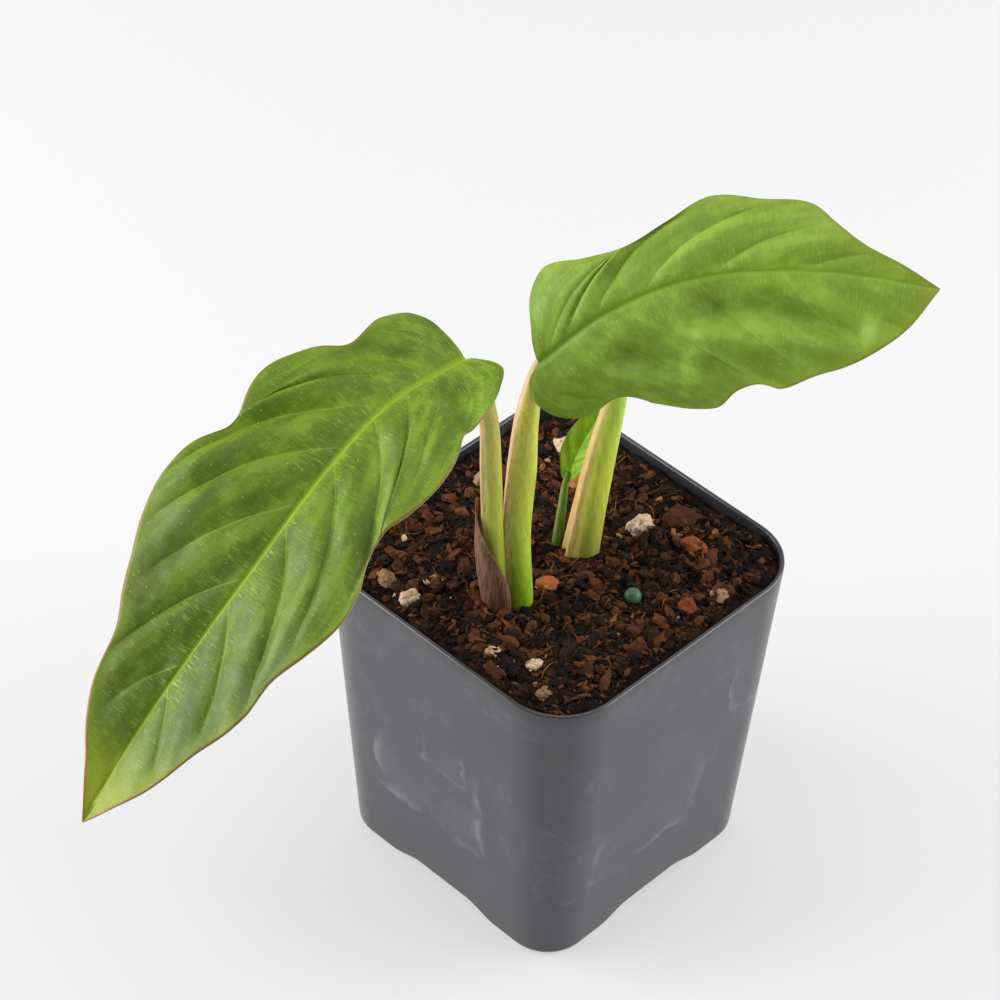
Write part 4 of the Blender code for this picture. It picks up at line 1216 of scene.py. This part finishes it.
peat = crumb_material("peat_crumb", PEAT, 0.9, 1.2, 0.3)
bark = crumb_material("pine_bark", BARK_COLOURS, 0.85, 1.4, 0.2, pit_shade_strength=0.3)
shreds = crumb_material("bark_shreds", SHREDS, 0.85, 0.8, 0.15)
pumice = crumb_material("raw_pumice", PUMICE_COLOURS, 0.92, 1.2, 0.25, pit_shade_strength=0.45)
coir = crumb_material("coir_fibre", FIBRE_COLOURS, 0.8, 1.0, 0.05)
prill_coat = crumb_material(
    "coated_fertiliser",
    [(0.2, "#4E6F5C"), (0.6, "#7C9C86"), (0.9, "#A3BBA8")], 0.35, 2.0, 0.03,
)
make_soil(peat)
scatter("peat_crumbs", CRUMB_COUNT, (0.7, 2.3), (1.0, 2.0), (0.5, 0.9), 0.4, 11, peat)
scatter("peat_dust", DUST_COUNT, (0.3, 1.0), (1.0, 2.2), (0.5, 0.9), 0.3, 14, peat, 3)
scatter("bark_shreds", SHRED_COUNT, (0.5, 1.5), (1.4, 2.8), (0.3, 0.5), 0.3, 12, shreds)
scatter("pumice_grit", GRIT_COUNT, (0.4, 1.4), (1.0, 1.3), (0.7, 1.0), 0.4, 13, pumice)
make_fibres(coir)
for number in range(1, 10):
    make_grain(f"pumice_{number}", "pumice", pumice, number)
for number in range(1, 9):
    make_grain(f"bark_chip_{number}", "bark", bark, BARK_SEED + number)
make_grain("fertiliser_prill", "fertiliser_prill", prill_coat, PRILL_SEED)

# Each stalk's green at its foot, middle and top, and its sheath's edges
for side, greens in {
    "left": ("#7E9A0C", "#A8B034", "#C2B05C", "#CCA27C"),
    "right": ("#84B008", "#ACBA2A", "#CEC258", "#CCA27C"),
    "back": ("#8E9040", "#C2CA3C", "#9ED234", "#D0A474"),
    "young": ("#4E5A18", "#55701C", "#5E8420", "#7A7430"),
}.items():
    make_stalk(f"petiole_{side}", stalk_material(f"{side}_stalk_skin", *greens))
make_dried_sheath(dry_sheath_material())

# Each blade's greens, its rib from base to tip, veins, underside, margin band and line, the
# strength of its veinlets, where it yellows and to what, and its painted light and shade along it
for side, look in {
    "left": (
        ("#485E0A", "#587210", "#69841A"), ("#98BA2C", "#92B62A", "#7C9C24"), "#9AB63C",
        "#7F9450", ("#8A9C20", "#94603F"), 1.0, (80.0, "#8F9C18"), (1.32, 0.8),
    ),
    # The right blade's greens are painted lighter than the left's, as painted light on a blade turned
    # towards the camera, and its rib is painted darker near the base, as painted shade in the sunken
    # midrib
    "right": (
        ("#688723", "#76952D", "#84A536"), ("#648A14", "#78A01E", "#96B838"), "#A2C242",
        "#82984C", ("#A0A830", "#869432"), 0.6, (63.0, "#8C8A28"), (0.97, 1.12),
    ),
    "back": (
        ("#516814", "#66801E", "#7E9A2E"), ("#8FB22E", "#88AE2A", "#7EA028"), "#96B04A",
        "#829850", ("#8A9C20", "#8F6142"), 0.6, (28.0, "#8F9C18"),
    ),
    "young": (
        ("#74A01C", "#8CBC2C", "#A2D244"), ("#8CB834", "#86B22C", "#7EA828"), "#96BC48",
        "#86A84A", ("#7E9C20", "#7A6A30"), 0.4, (17.0, "#8FA428"),
    ),
}.items():
    make_blade(f"blade_{side}", leaf_material(f"{side}_leaf_skin", *look))

root_skin = crumb_material(
    "root_skin", [(0.2, "#A08A64"), (0.6, "#D9C9A8"), (0.9, "#EDE3CC")], 0.6, 1.5, 0.1
)
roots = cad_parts["rhizome_and_roots"]
roots.data.materials.clear()
roots.data.materials.append(root_skin)
